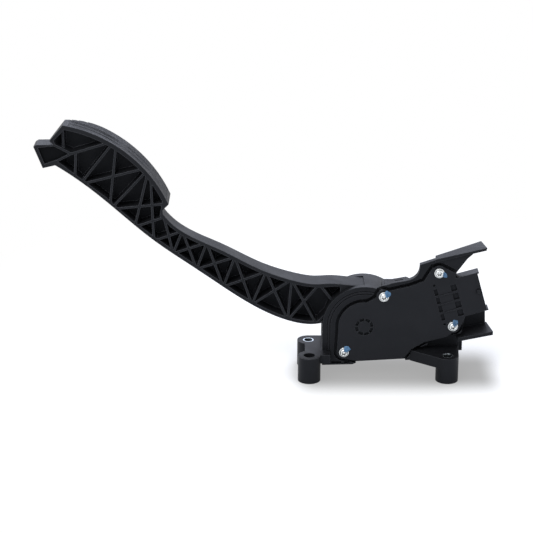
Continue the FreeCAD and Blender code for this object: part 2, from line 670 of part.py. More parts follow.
def inset(points, distance):
    """Points moved to the right of the way they run, by the wall they leave."""
    moved = []
    for index, (x, z) in enumerate(points):
        before = points[max(index - 1, 0)]
        after = points[min(index + 1, len(points) - 1)]
        share = distance / math.hypot(after[0] - before[0], after[1] - before[1])
        moved.append((x + (after[1] - before[1]) * share, z - (after[0] - before[0]) * share))
    return tuple(moved)


def pocket_face(y):
    """Open inside of the arm, a wall's thickness in from its outline."""
    radius = PAD_R - PAD_T
    start, end = PAD_POCKET_ANGLES
    top = inset(ARM_TOP[:-1], ARM_WALL)
    under = inset(ARM_UNDER, ARM_WALL)
    steps = [(polar(radius, (start + end) / 2, PAD_CENTRE), polar(radius, end, PAD_CENTRE))]
    steps += [(HEEL_POCKET,), top]
    steps += lines(((POCKET_ROOT, top[-1][1]), (POCKET_ROOT, under[0][1]), under[0]))
    steps += [under[1:]] + lines(LUG_POCKET)
    return outline(polar(radius, start, PAD_CENTRE), steps, y)


def arm_ribs(y0, y1):
    """Truss inside the arm: a strut at each inner station and a cross in each bay between two stations."""
    truss = list(PAD_RIBS + ROOT_RIBS)
    stations = list(zip(UNDER_STATIONS, TOP_STATIONS))
    truss += stations[1:-1]
    for (under_a, top_a), (under_b, top_b) in zip(stations, stations[1:]):
        truss += [(under_a, top_b), (top_a, under_b)]
    return [bar(a, b, RIB_T, y0, y1) for a, b in truss]


def arm_plan():
    """Plan outline that widens the arm from its slim middle to the drum."""
    slim = DRUM_Y0 + ARM_DEPTH
    start, end = [PIVOT_X + x for x in ARM_FLARE]
    points = ((-FAR, DRUM_Y0), (FAR, DRUM_Y0), (FAR, DRUM_Y1), (end, DRUM_Y1), (start, slim), (-FAR, slim))
    return flat_plate(points, -FAR, FAR)


def pad_band(outer, inner, edge, y0, y1):
    """Curved strip along the pad between two radii, ending edge degrees short of its ends."""
    tip, end = PAD_TIP_ANGLE - edge, PAD_END_ANGLE + edge
    mid = (tip + end) / 2
    top = [polar(outer, angle, PAD_CENTRE) for angle in (tip, mid, end)]
    under = [polar(inner, angle, PAD_CENTRE) for angle in (end, mid, tip)]
    return slab(top[0], [(top[1], top[2]), (under[0],), (under[1], under[2])], y0, y1)


def pad_trim():
    """Corner taken off the pad behind its tip, in a long round sweep."""
    tip_x = at(*PAD_TIP_FOOT).x
    side = DRUM_Y0 + PAD_TIP_WIDTH
    back = DRUM_Y0 + PAD_WIDTH
    along, across = PAD_TIP_BULGE
    start = V(tip_x, side, 0)
    middle = V(tip_x + PAD_TIP_RUN * along, side + (back - side) * across, 0)
    end = V(tip_x + PAD_TIP_RUN, back, 0)
    corner = V(tip_x, back, 0)
    sweep = Part.Arc(start, middle, end).toShape()
    edges = [sweep, Part.makeLine(end, corner), Part.makeLine(corner, start)]
    return Part.Face(Part.Wire(edges)).extrude(V(0, 0, FAR))


def tip_floor():
    """Floor and side wall that close the pocket in front of the corner taken off at the tip."""
    tip_x = at(*PAD_TIP_FOOT).x
    front = DRUM_Y0 + PAD_TIP_WIDTH - ARM_WEB
    step = flat_plate(
        ((tip_x - ARM_WEB, front), (tip_x + ARM_WEB, front), (tip_x + ARM_WEB, FAR), (tip_x - ARM_WEB, FAR)), 0, FAR)
    sweep = pad_trim()
    sweep.translate(V(ARM_WEB, -ARM_WEB, 0))
    return [step, sweep]


def pad_grooves():
    """Lengthwise tread in the face of the pad."""
    count = int(PAD_WIDTH / PAD_TREAD_PITCH)
    places = [DRUM_Y0 + PAD_TREAD_PITCH * index for index in range(1, count)]
    outer, inner = PAD_R + PAD_T, PAD_R - PAD_TREAD_DEPTH
    return [pad_band(outer, inner, PAD_TREAD_EDGE, y, y + PAD_TREAD_GROOVE) for y in places]


def drum():
    """Drum sector with hub, rim, web and spokes, and the heel that lifts the springs."""
    web0, web1 = DRUM_MID - ARM_WEB / 2, DRUM_MID + ARM_WEB / 2
    body = sector(ARM_ROOT, DRUM_R, DRUM_START, DRUM_END, DRUM_Y0, DRUM_Y1)
    count = int((DRUM_END - DRUM_START) / SPOKE_PITCH) + 1
    angles = [DRUM_START + ARM_WALL + index * SPOKE_PITCH for index in range(count)]
    for y0, y1 in ((DRUM_Y0, web0), (web1, DRUM_Y1)):
        pocket = sector(HUB_R, DRUM_R - DRUM_RIM, DRUM_START + POCKET_EDGE, DRUM_END - POCKET_EDGE, y0, y1)
        spokes = [bar(polar(ARM_ROOT, angle), polar(DRUM_R, angle), RIB_T, y0, y1) for angle in angles]
        body = body.cut(pocket.cut(spokes))
    side = PIN_R + ARM_ROOT
    corners = (
        (0.0, HEEL_UNDER), (HEEL_REACH, HEEL_UNDER), (HEEL_REACH, HEEL_TOP), (HEEL_REACH / 2, HEEL_TOP),
        (side, side), (0.0, side),
    )
    return body.fuse([rod(0, 0, HUB_R, DRUM_Y0, DRUM_Y1), polygon(corners, DRUM_Y0, DRUM_Y1)])


def build_pedal_arm():
    body = arm_face(DRUM_Y0).extrude(V(0, DRUM_WIDTH, 0)).common(arm_plan())
    pocket = pocket_face(DRUM_Y0).extrude(V(0, WEB_Y - DRUM_Y0, 0)).cut(arm_ribs(DRUM_Y0, WEB_Y))
    pocket = pocket.cut(bar(*LOW_RIB, RIB_T, DRUM_Y0 + LOW_RIB_DROP, WEB_Y))
    pocket = pocket.cut(tip_floor())
    drum_core = rod(0, 0, DRUM_R - DRUM_RIM / 2, DRUM_Y0, DRUM_Y1)
    plate = pad_band(PAD_R, PAD_R - PAD_T, 0.0, DRUM_Y0, DRUM_Y0 + PAD_WIDTH)
    body = body.cut(pocket).cut(drum_core).fuse(plate).fuse(drum())
    body = body.cut(pad_trim()).cut(pad_grooves())
    boss_room = BEARING_BOSS_R + SIDE_GAP
    rooms = [
        rod(0, 0, PIN_R + PRESS_GAP, DRUM_Y0, DRUM_Y1),
        rod(0, 0, boss_room, DRUM_Y0, CHEEK_IN_FRONT + BEARING_BOSS_LENGTH + SIDE_GAP),
        rod(0, 0, boss_room, CHEEK_IN_REAR - BEARING_BOSS_LENGTH - SIDE_GAP, DRUM_Y1),
    ]
    for room in rooms:
        body = body.cut(room)
    return single(body.removeSplitter())


def build_pivot_pin():
    shaft = rod(0, 0, PIN_R, PIN_FRONT, REAR_Y + PIN_OVERHANG)
    spigot = rod(0, 0, SPIGOT_R, PIN_FRONT - ROTOR_T, PIN_FRONT)
    neck = tube(PIN_R + 1, PIN_R - PIN_NECK_DEPTH, RETAINER_Y, RETAINER_Y + RETAINER_T)
    return single(shaft.fuse(spigot).cut(neck).removeSplitter())


def build_pin_retainer():
    y1 = RETAINER_Y + RETAINER_T
    ring = tube(RETAINER_R, PIN_R - PIN_NECK_DEPTH + PRESS_GAP, RETAINER_Y, y1)
    return single(ring.cut(block(-RETAINER_MOUTH / 2, RETAINER_MOUTH / 2, RETAINER_Y, y1, -FAR, 0)))


def bearing(y0, y1):
    return tube(PIN_R + BEARING_WALL - PRESS_GAP, PIN_R + RUNNING_GAP, y0, y1)


def build_sensor_rotor():
    return tube(ROTOR_R, SPIGOT_R + PRESS_GAP, PIN_FRONT - ROTOR_T, PIN_FRONT)


def build_rotor_target():
    y1 = PIN_FRONT - ROTOR_T
    pitch = 360.0 / TARGET_COUNT
    starts = [index * pitch for index in range(TARGET_COUNT)]
    return Part.makeCompound([sector(*TARGET_R, a, a + pitch / 2, y1 - TARGET_T, y1) for a in starts])


def cover_screw(x, z):
    """Screw with a washer face, a smaller round head and a six-sided drive."""
    top = COVER_FRONT - SCREW_HEAD_H
    washer = rod(x, z, SCREW_HEAD_R, COVER_FRONT - SCREW_WASHER_H, COVER_FRONT)
    head = washer.fuse(rod(x, z, SCREW_CROWN_R, top, COVER_FRONT))
    shank = rod(x, z, SCREW_R, COVER_FRONT, COVER_FRONT + SCREW_LENGTH)
    corners = [polar(SCREW_DRIVE_R, side * 60.0, (x, z)) for side in range(6)]
    return single(head.fuse(shank).cut(polygon(corners, top, top + SCREW_DRIVE_DEPTH)).removeSplitter())


def build_cover_screws():
    return Part.makeCompound([cover_screw(x, z) for x, z in SCREW_PLACES])


def foot_bush(place, sink):
    height = FOOT_HEIGHT - sink
    outer = Part.makeCylinder(BUSH_OD / 2 - PRESS_GAP, height, V(place[0], place[1], 0))
    return outer.cut(Part.makeCylinder(BUSH_BORE / 2, height, V(place[0], place[1], 0)))


def coil(radius, wire):
    """Compression coil between the seat and the friction shoe, in straight runs of square wire."""
    low = SEAT_TOP + SPRING_END_GAP
    climb = SHOE_UNDER - SPRING_END_GAP - wire - low
    count = int(SPRING_TURNS * SPRING_SIDES)
    r0, r1 = radius - wire / 2, radius + wire / 2
    rings = []
    for step in range(count + 1):
        cos = math.cos(2 * math.pi * step / SPRING_SIDES)
        sin = math.sin(2 * math.pi * step / SPRING_SIDES)
        z = low + climb * step / count
        corners = ((r0, z), (r1, z), (r1, z + wire), (r0, z + wire))
        rings.append([at(SPRING_X + r * cos, h, DRUM_MID + r * sin) for r, h in corners])
    triangles = []
    for near, ahead in zip(rings, rings[1:]):
        for a, b in ((0, 1), (1, 2), (2, 3), (3, 0)):
            triangles += [(near[a], near[b], ahead[b]), (near[a], ahead[b], ahead[a])]
    for end in (rings[0], rings[-1]):
        triangles += [(end[0], end[1], end[2]), (end[0], end[2], end[3])]
    faces = [Part.Face(Part.makePolygon(list(corners) + [corners[0]])) for corners in triangles]
    return Part.makeSolid(Part.makeShell(faces)).removeSplitter()


def build_spring_seat():
    base = at(SPRING_X, HEEL_TOP, DRUM_MID)
    seat = Part.makeCylinder(SEAT_R, SEAT_T, base)
    return seat.fuse(Part.makeCylinder(SEAT_SPIGOT_R, SEAT_T + SEAT_SPIGOT_H, base)).removeSplitter()


def build_friction_shoe():
    """Lever under the roof: a curved pad on the drum at one end, the springs' upper seat at the other."""
    radius = DRUM_R + FREE_GAP
    start = math.degrees(math.asin((SHOE_UNDER - SHOE_DROP) / radius))
    end = math.degrees(math.asin((SHOE_TOP - SHOE_EDGE) / radius))
    upper = polar(radius, end)
    right = SPRING_X + SEAT_R + SHOE_EDGE
    left = SPRING_X - SEAT_R
    steps = [(polar(radius, (start + end) / 2), upper)]
    steps += lines(((upper[0], SHOE_TOP), (right, SHOE_TOP), (right, SHOE_UNDER), (left, SHOE_UNDER)))
    lever = slab(polar(radius, start), steps, CHEEK_IN_FRONT + FREE_GAP, CHEEK_IN_REAR - FREE_GAP)
    trunnion = rod(*SHOE_TRUNNION, SHOE_TRUNNION_R, CHEEK_IN_FRONT - SHOE_TRUNNION_REACH,
                   CHEEK_IN_REAR + SHOE_TRUNNION_REACH)
    return single(lever.fuse(trunnion).removeSplitter())


def build_rest_stop():
    height = HEEL_UNDER - FREE_GAP - CHAMBER_FLOOR
    return Part.makeCylinder(REST_STOP_R, height, at(SPRING_X, CHAMBER_FLOOR, DRUM_MID))


def build_full_stop():
    far_edge = FULL_STOP_X - FULL_STOP_R
    top = far_edge * math.tan(math.radians(DRUM_END + PEDAL_TRAVEL - 180.0)) - FREE_GAP
    return Part.makeCylinder(FULL_STOP_R, top - CHAMBER_FLOOR, at(FULL_STOP_X, CHAMBER_FLOOR, DRUM_MID))


def build_lid():
    """Plate in the tray, with a finger slot near its far end."""
    length, width = LID_SLOT
    slot = Part.makeBox(length, width, FAR, V(LID_LENGTH - length - LID_SLOT_EDGE, LID_MID, -LID_T))
    slot.rotate(V(0, 0, 0), V(0, 1, 0), -LID_SLOPE)
    slot.translate(at(LID_START[0], LID_START[1]))
    return single(lid_room(0.0, LID_T).cut(slot))


def save(node, shape):
    shape.exportStep("parts/%s.step" % node)


save("housing", build_housing())
save("sensor_cover", build_sensor_cover())
save("pedal_arm", build_pedal_arm())
save("pivot_pin", build_pivot_pin())
save("pin_retainer", build_pin_retainer())
save("pivot_bush_front", bearing(CHAMBER_BACK, CHEEK_IN_FRONT + BEARING_BOSS_LENGTH))
save("pivot_bush_rear", bearing(CHEEK_IN_REAR - BEARING_BOSS_LENGTH, REAR_Y))
save("sensor_rotor", build_sensor_rotor())
save("rotor_target", build_rotor_target())
save("circuit_board", build_circuit_board())
save("signal_chips", build_signal_chips())
save("connector_pins", build_connector_pins())
save("cover_screws", build_cover_screws())
save("foot_bush_front_left", foot_bush(FEET[0], BUSH_SINK))
save("foot_bush_rear_left", foot_bush(FEET[1], 0.0))
save("foot_bush_front_right", foot_bush(FEET[2], 0.0))
save("return_spring_outer", coil(SPRING_R_OUTER, SPRING_WIRE_OUTER))
save("return_spring_inner", coil(SPRING_R_INNER, SPRING_WIRE_INNER))
save("spring_seat", build_spring_seat())
save("friction_shoe", build_friction_shoe())
save("rest_stop_buffer", build_rest_stop())
save("full_stop_buffer", build_full_stop())
save("spring_chamber_lid", build_lid())
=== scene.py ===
# %% [markdown]
# # An electronic accelerator pedal, dressed for the studio
# The pedal is a black moulded arm that swings in a black moulded housing. Behind the front cover a
# contactless sensor reads the angle of the pivot pin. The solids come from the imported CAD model, which
# fixes every size and every moving body. This lesson gives each solid its finish, adds the small metal
# and paint pieces that a moulding alone lacks, and sets up a plain studio.

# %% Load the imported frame
import math

import bmesh
import bpy
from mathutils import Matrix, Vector


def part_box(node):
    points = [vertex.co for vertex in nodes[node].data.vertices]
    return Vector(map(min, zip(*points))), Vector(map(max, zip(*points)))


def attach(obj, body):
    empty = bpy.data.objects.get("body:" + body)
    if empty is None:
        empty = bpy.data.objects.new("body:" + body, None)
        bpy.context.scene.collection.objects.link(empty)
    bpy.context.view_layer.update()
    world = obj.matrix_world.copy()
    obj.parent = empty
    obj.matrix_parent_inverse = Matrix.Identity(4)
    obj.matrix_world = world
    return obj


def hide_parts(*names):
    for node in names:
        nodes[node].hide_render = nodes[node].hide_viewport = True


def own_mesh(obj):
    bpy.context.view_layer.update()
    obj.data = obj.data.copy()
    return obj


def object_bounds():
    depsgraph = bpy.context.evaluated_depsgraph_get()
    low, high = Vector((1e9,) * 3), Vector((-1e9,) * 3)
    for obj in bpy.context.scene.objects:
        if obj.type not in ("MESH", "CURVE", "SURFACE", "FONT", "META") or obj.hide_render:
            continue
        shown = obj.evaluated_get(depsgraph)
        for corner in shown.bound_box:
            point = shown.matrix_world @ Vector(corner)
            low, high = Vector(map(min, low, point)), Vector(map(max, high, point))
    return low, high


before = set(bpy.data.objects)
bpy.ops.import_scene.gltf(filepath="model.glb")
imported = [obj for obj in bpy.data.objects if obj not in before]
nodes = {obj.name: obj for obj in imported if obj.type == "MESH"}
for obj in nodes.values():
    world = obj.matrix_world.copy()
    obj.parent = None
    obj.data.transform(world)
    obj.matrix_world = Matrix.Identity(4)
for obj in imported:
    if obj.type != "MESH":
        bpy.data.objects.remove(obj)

MM = 0.001
cad_low, cad_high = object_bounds()
print("frame:", len(nodes), "nodes,", [round(1000 * v, 1) for v in cad_high - cad_low], "mm")

# %% [markdown]
# ## The camera
# A product photographer stands back and uses a long lens, so that the long pedal arm keeps its
# proportions. We could guess a lens and nudge the camera until it looks right. Here its place follows
# from the upright edges and the two left feet: it looks down by twenty degrees, square to the cover.

# %% Camera
IMAGE_SIDE = 533
FOCAL_PIXELS = 1714.0
SENSOR_WIDTH = 36.0
CAMERA_PLACE = (-0.03315, -1.24026, 0.53931)
CAMERA_TILT = math.radians(70.0)
CLIP_NEAR, CLIP_FAR = 0.05, 50.0


def linked(name, data):
    """A new object with that data, in the scene's own collection."""
    made = bpy.data.objects.new(name, data)
    bpy.context.scene.collection.objects.link(made)
    return made


camera_data = bpy.data.cameras.new("studio_camera")
camera_data.sensor_width = SENSOR_WIDTH
camera_data.lens = FOCAL_PIXELS * SENSOR_WIDTH / IMAGE_SIDE
camera_data.clip_start = CLIP_NEAR
camera_data.clip_end = CLIP_FAR
camera = linked("studio_camera", camera_data)
camera.location = CAMERA_PLACE
camera.rotation_euler = (CAMERA_TILT, 0.0, 0.0)
bpy.context.scene.camera = camera
print("camera lens %.1f mm" % camera_data.lens)

# %% [markdown]
# ## Helpers for node trees
# Every finish and every procedural shape below is a node tree. Adding nodes by hand in the editor is
# fine for one material, but a script that repeats the same three calls becomes hard to read. These
# helpers add a node with its values, join two sockets, do a sum, mix two shaders, and start a group of
# our own.

# %% Node helpers
def set_inputs(node, values):
    """Sets a node's inputs by their names, written with _ for a space."""
    for name, value in values.items():
        node.inputs[name.replace("_", " ")].default_value = value


def add(tree, kind, operation=None, **values):
    """A new node of that kind, with its operation, and with inputs set by their names."""
    made = tree.nodes.new(kind)
    if operation:
        made.operation = operation
    set_inputs(made, values)
    return made


def join(tree, source, out_name, target, in_name):
    """A link from one node's output to another node's input."""
    tree.links.new(source.outputs[out_name], target.inputs[in_name])


def sums(tree, operation, first, second):
    """A Math node on two sockets or numbers."""
    made = add(tree, "ShaderNodeMath", operation)
    for index, value in enumerate((first, second)):
        if isinstance(value, (int, float)):
            made.inputs[index].default_value = value
        else:
            tree.links.new(value, made.inputs[index])
    return made.outputs[0]


def mix_shaders(tree, factor, first, second):
    """A shader that goes from the first to the second as the factor goes from 0 to 1."""
    made = tree.nodes.new("ShaderNodeMixShader")
    for index, socket in enumerate((factor, first.outputs[0], second.outputs[0])):
        tree.links.new(socket, made.inputs[index])
    return made


def new_group(name, kind, sockets):
    """An empty node group with its named sockets, given as (name, in or out, type, start value)."""
    group = bpy.data.node_groups.new(name, kind)
    for label, way, socket_type, start in sockets:
        socket = group.interface.new_socket(name=label, in_out=way, socket_type=socket_type)
        if start is not None:
            socket.default_value = start
    entry = group.nodes.new("NodeGroupInput")
    leave = group.nodes.new("NodeGroupOutput")
    return group, entry, leave


print("node helpers ready")

# %% [markdown]
# ## Studio: a white sweep, a floor and three soft boxes
# The background is pure white, yet the black plastic must not be flooded with light, or its colour
# would turn grey. Light Path separates the two: rays from the camera and mirror-like rays see a white
# world, while the light that falls on the object stays at a plain level.

# %% World
def seen_rays(tree):
    """1 for the rays that show the background: from the camera, a mirror-like surface or glass."""
    path = add(tree, "ShaderNodeLightPath")
    seen = path.outputs["Is Camera Ray"]
    for name in ("Is Glossy Ray", "Is Transmission Ray"):
        seen = sums(tree, "MAXIMUM", seen, path.outputs[name])
    return seen


world = bpy.data.worlds.new("white_sweep")
bpy.context.scene.world = world
world.use_nodes = True
tree = world.node_tree
tree.nodes.clear()
ambient = add(tree, "ShaderNodeBackground", Color=(0.93, 0.96, 1.0, 1.0), Strength=0.5)
sweep = add(tree, "ShaderNodeBackground", Color=(1.0, 1.0, 1.0, 1.0), Strength=1.0)
leave = tree.nodes.new("ShaderNodeOutputWorld")
join(tree, mix_shaders(tree, seen_rays(tree), ambient, sweep), 0, leave, "Surface")
bpy.context.scene.view_settings.view_transform = "Standard"
print("world: white to the camera, plain ambient light on the object")

# %% [markdown]
# The floor has to do two jobs: it is white where nothing stands, and it keeps the soft shadow at the
# feet. So close to the object it is a matt surface with a little light of its own for the camera, and
# further out it fades into the white of the sweep. So much white around would wash the shadow out, and
# more lamps would light the black plastic too. Two masks bring it back: one greys the paper where it is
# covered, and the other lays a soft-edged shade under the footprint of the housing, as a retoucher does.
# The second one only shows in the picture and in mirrors, so the light that the floor throws up at the
# part stays the same.

# %% Floor sheet
FLOOR_HALF = 9.0
FLOOR_CORNERS = ((-1, -1), (1, -1), (1, 1), (-1, 1))
floor_mesh = bpy.data.meshes.new("studio_floor")
floor_mesh.from_pydata([(x * FLOOR_HALF, y * FLOOR_HALF, 0.0) for x, y in FLOOR_CORNERS],
                       [], [(0, 1, 2, 3)])
floor = linked("studio_floor", floor_mesh)
print("floor laid at z = 0")

# %% Shade under the footprint
SHADE_SHIFT = Vector((2.5, 1.0, 0.0)) * MM
SHADE_GROW = Vector((0.0, 8.0, 0.0)) * MM
SHADE_BLUR = (12.0 * MM, 21.0 * MM)
SHADE_DEPTH = 0.90
foot_low, foot_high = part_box("housing")


def footprint_veil(tree, spot, seen):
    """A mask that is full inside the footprint and runs out softly over its edges."""
    inside = add(tree, "ShaderNodeVectorMath", "SUBTRACT")
    inside.inputs[1].default_value = (foot_low + foot_high) / 2 + SHADE_SHIFT
    join(tree, spot, "Object", inside, 0)
    apart = add(tree, "ShaderNodeVectorMath", "ABSOLUTE")
    join(tree, inside, "Vector", apart, 0)
    sides = add(tree, "ShaderNodeSeparateXYZ")
    join(tree, apart, "Vector", sides, "Vector")
    veil = seen
    for axis, half, blur in zip("XY", (foot_high - foot_low) / 2 + SHADE_GROW, SHADE_BLUR):
        soft = add(tree, "ShaderNodeMapRange", To_Min=1.0, To_Max=0.0,
                   From_Min=half - blur, From_Max=half + blur)
        soft.interpolation_type = "SMOOTHSTEP"
        join(tree, sides, axis, soft, "Value")
        veil = sums(tree, "MULTIPLY", veil, soft.outputs["Result"])
    return sums(tree, "MULTIPLY", veil, SHADE_DEPTH)


print("shade under a footprint of", [round(1000 * v, 1) for v in (foot_high - foot_low).xy], "mm")

# %% Floor paper
SWEEP_CENTRE = (0.04, 0.0, 0.0)
SWEEP_FADE = (0.16, 0.42)
PAPER_LIFT = 0.38
COVERED_REACH = 0.045
COVERED_SAMPLES = 8

paper = bpy.data.materials.new("floor_paper")
paper.use_nodes = True
tree = paper.node_tree
tree.nodes.clear()
spot = add(tree, "ShaderNodeTexCoord")
seen = seen_rays(tree)
under = add(tree, "ShaderNodeAmbientOcclusion", Distance=COVERED_REACH)
under.samples = COVERED_SAMPLES
shade = add(tree, "ShaderNodeMapRange", From_Min=0.30, From_Max=0.85, To_Min=0.40, To_Max=0.90)
join(tree, under, "AO", shade, "Value")
left_over = sums(tree, "SUBTRACT", 1.0, footprint_veil(tree, spot, seen))
matt = add(tree, "ShaderNodeBsdfDiffuse")
tree.links.new(sums(tree, "MULTIPLY", shade.outputs["Result"], left_over), matt.inputs["Color"])
none = add(tree, "ShaderNodeEmission", Strength=0.0)
lift = add(tree, "ShaderNodeEmission", Strength=PAPER_LIFT)
near = add(tree, "ShaderNodeAddShader")
join(tree, matt, 0, near, 0)
join(tree, mix_shaders(tree, seen, none, lift), 0, near, 1)

centre = add(tree, "ShaderNodeVectorMath", "SUBTRACT")
centre.inputs[1].default_value = SWEEP_CENTRE
join(tree, spot, "Object", centre, 0)
reach = add(tree, "ShaderNodeVectorMath", "LENGTH")
join(tree, centre, "Vector", reach, 0)
fade = add(tree, "ShaderNodeMapRange", From_Min=SWEEP_FADE[0], From_Max=SWEEP_FADE[1])
fade.interpolation_type = "SMOOTHSTEP"
join(tree, reach, "Value", fade, "Value")
far = add(tree, "ShaderNodeEmission", Strength=1.0)
leave = tree.nodes.new("ShaderNodeOutputMaterial")
join(tree, mix_shaders(tree, fade.outputs["Result"], near, far), 0, leave, "Surface")
floor_mesh.materials.append(paper)
print("floor paper:", len(tree.nodes), "nodes")

# %% [markdown]
# Soft boxes are large so that their edges do not show in the plastic. The key stands up to the left,
# which is why the feet throw their shade to the right. A low box on the right and a long one behind
# trace the edges. The one behind is a little blue, as the tops of black plastic look under an open sky.

# %% Lamps
MIDDLE = (cad_low + cad_high) / 2


def soft_box(name, place, width, height, power, colour=(1.0, 1.0, 1.0)):
    """An area lamp of that size in metres, aimed at the middle of the part."""
    lamp = bpy.data.lights.new(name, "AREA")
    lamp.color = colour
    lamp.shape = "RECTANGLE"
    lamp.size = width
    lamp.size_y = height
    lamp.energy = power
    made = linked(name, lamp)
    made.location = place
    made.rotation_euler = (MIDDLE - Vector(place)).to_track_quat("-Z", "Y").to_euler()


soft_box("key_box", (-0.55, -0.75, 1.05), width=0.9, height=0.9, power=9.0)
soft_box("back_box", (0.05, 0.95, 0.65), width=1.6, height=0.6, power=6.0, colour=(0.72, 0.78, 1.0))
soft_box("side_box", (1.0, -0.55, 0.45), width=0.5, height=0.8, power=1.8)
print("three soft boxes aimed at", [round(v, 3) for v in MIDDLE])

# %% [markdown]
# ## Shared effects as shader groups
# The black mouldings share three things: a fine grain from the eroded mould, slow changes of tone from the
# glass fibre near the surface, and edges that are rounded, with a painted highlight in a lighter colour.
# Each effect is a node group with named sockets, so that every material sets its own values.

# %% Mould grain
PIT_SHARE = 0.45
PIT_WEIGHT = 0.5
grain, entry, leave = new_group("mould_grain", "ShaderNodeTree", (
    ("Vector", "INPUT", "NodeSocketVector", None),
    ("Grain Scale", "INPUT", "NodeSocketFloat", 2600.0),
    ("Flow Scale", "INPUT", "NodeSocketFloat", 38.0),
    ("Height", "OUTPUT", "NodeSocketFloat", None),
    ("Tone", "OUTPUT", "NodeSocketFloat", None),
))
fine = add(grain, "ShaderNodeTexNoise", Detail=2.0, Roughness=0.6)
join(grain, entry, "Vector", fine, "Vector")
join(grain, entry, "Grain Scale", fine, "Scale")
pits = add(grain, "ShaderNodeTexVoronoi")
join(grain, entry, "Vector", pits, "Vector")
grain.links.new(sums(grain, "MULTIPLY", entry.outputs["Grain Scale"], PIT_SHARE), pits.inputs["Scale"])
pit_height = sums(grain, "MULTIPLY", pits.outputs["Distance"], PIT_WEIGHT)
grain.links.new(sums(grain, "ADD", pit_height, fine.outputs["Fac"]), leave.inputs["Height"])
flow = add(grain, "ShaderNodeTexNoise", Detail=4.0, Roughness=0.55, Distortion=0.8)
join(grain, entry, "Vector", flow, "Vector")
join(grain, entry, "Flow Scale", flow, "Scale")
tone = add(grain, "ShaderNodeMapRange", From_Min=0.3, From_Max=0.7)
join(grain, flow, "Fac", tone, "Value")
join(grain, tone, "Result", leave, "Tone")
print("group mould_grain")

# %% [markdown]
# A moulded edge always has a small radius. Modelling it on every rib would multiply the faces. The Bevel
# node reads the surface within a short distance and rounds the shading normal instead, and the difference
# from the flat normal is a mask of the edges, where the finishes paint a lighter highlight.

# %% Rounded edges
rounding, entry, leave = new_group("rounded_edge", "ShaderNodeTree", (
    ("Radius", "INPUT", "NodeSocketFloat", 0.0005),
    ("Normal", "OUTPUT", "NodeSocketVector", None),
    ("Edge", "OUTPUT", "NodeSocketFloat", None),
))
bevel = add(rounding, "ShaderNodeBevel")
bevel.samples = 6
join(rounding, entry, "Radius", bevel, "Radius")
flat = add(rounding, "ShaderNodeNewGeometry")
agree = add(rounding, "ShaderNodeVectorMath", "DOT_PRODUCT")
join(rounding, bevel, "Normal", agree, 0)
join(rounding, flat, "Normal", agree, 1)
mask = add(rounding, "ShaderNodeMapRange", From_Min=0.995, From_Max=0.80)
join(rounding, agree, "Value", mask, "Value")
join(rounding, bevel, "Normal", leave, "Normal")
join(rounding, mask, "Result", leave, "Edge")
print("group rounded_edge")

# %% [markdown]
# Recesses get painted shade: where a surface is closed in, its colour is darkened, and in the arm's wide
# pockets it is paled instead, as a painted fill light. A second material in every recess would mean picking
# faces by hand. The Ambient Occlusion node measures how closed in a point is, within a few millimetres and
# on its own solid alone, so the same mask holds when the pedal moves.

# %% Closed-in recesses
recess, entry, leave = new_group("closed_recess", "ShaderNodeTree", (
    ("Reach", "INPUT", "NodeSocketFloat", 0.003),
    ("Dark At", "INPUT", "NodeSocketFloat", 0.30),
    ("Open At", "INPUT", "NodeSocketFloat", 0.85),
    ("Open", "OUTPUT", "NodeSocketFloat", None),
))
closed = add(recess, "ShaderNodeAmbientOcclusion")
closed.samples = 8
closed.only_local = True
join(recess, entry, "Reach", closed, "Distance")
clear = add(recess, "ShaderNodeMapRange")
join(recess, closed, "AO", clear, "Value")
join(recess, entry, "Dark At", clear, "From Min")
join(recess, entry, "Open At", clear, "From Max")
join(recess, clear, "Result", leave, "Open")
print("group closed_recess")

# %% [markdown]
# Plated and ground steel is never one flat grey. Fine streaks from the tool and cloudy patches from the
# plating bath change its colour and its gloss.

# %% Metal streaks
STREAK_ALONG_Z = (900.0, 900.0, 9000.0)
streaks, entry, leave = new_group("tool_streaks", "ShaderNodeTree", (
    ("Vector", "INPUT", "NodeSocketVector", None),
    ("Stretch", "INPUT", "NodeSocketVector", STREAK_ALONG_Z),
    ("Streak", "OUTPUT", "NodeSocketFloat", None),
    ("Cloud", "OUTPUT", "NodeSocketFloat", None),
))
pull = add(streaks, "ShaderNodeVectorMath", "MULTIPLY")
join(streaks, entry, "Vector", pull, 0)
join(streaks, entry, "Stretch", pull, 1)
line = add(streaks, "ShaderNodeTexNoise", Scale=1.0, Detail=3.0)
join(streaks, pull, "Vector", line, "Vector")
join(streaks, line, "Fac", leave, "Streak")
cloud = add(streaks, "ShaderNodeTexNoise", Scale=420.0, Detail=3.0)
join(streaks, entry, "Vector", cloud, "Vector")
join(streaks, cloud, "Fac", leave, "Cloud")
print("group tool_streaks")

# %% [markdown]
# ## Moulded plastics
# A black moulding looks black from the front and almost grey along its top, because plastic mirrors
# more at a shallow angle. That comes from the shader by itself as long as the base colour stays dark.
# The groups vary the tone, the gloss and the fine relief, and they paint a highlight on the edges and shade
# in the recesses. First come the steps that all the finishes share.

# %% Steps of a finish
# A Mix node has a set of sockets for each data type, and these are the places of its colours
MIX_A, MIX_B, MIX_RESULT = 6, 7, 2


def new_finish(name):
    """A new material, its node tree and its Principled shader."""
    made = bpy.data.materials.new(name)
    made.use_nodes = True
    return made, made.node_tree, made.node_tree.nodes["Principled BSDF"]


def use_group(tree, group, **values):
    """One of our groups as a node, with inputs set by their names."""
    made = tree.nodes.new("ShaderNodeGroup")
    made.node_tree = group
    set_inputs(made, values)
    return made


def mix_colours(tree, factor, dark, light):
    """A Mix node between two colours, led by a mask."""
    made = tree.nodes.new("ShaderNodeMix")
    made.data_type = "RGBA"
    made.inputs[MIX_A].default_value = dark
    made.inputs[MIX_B].default_value = light
    tree.links.new(factor, made.inputs[0])
    return made


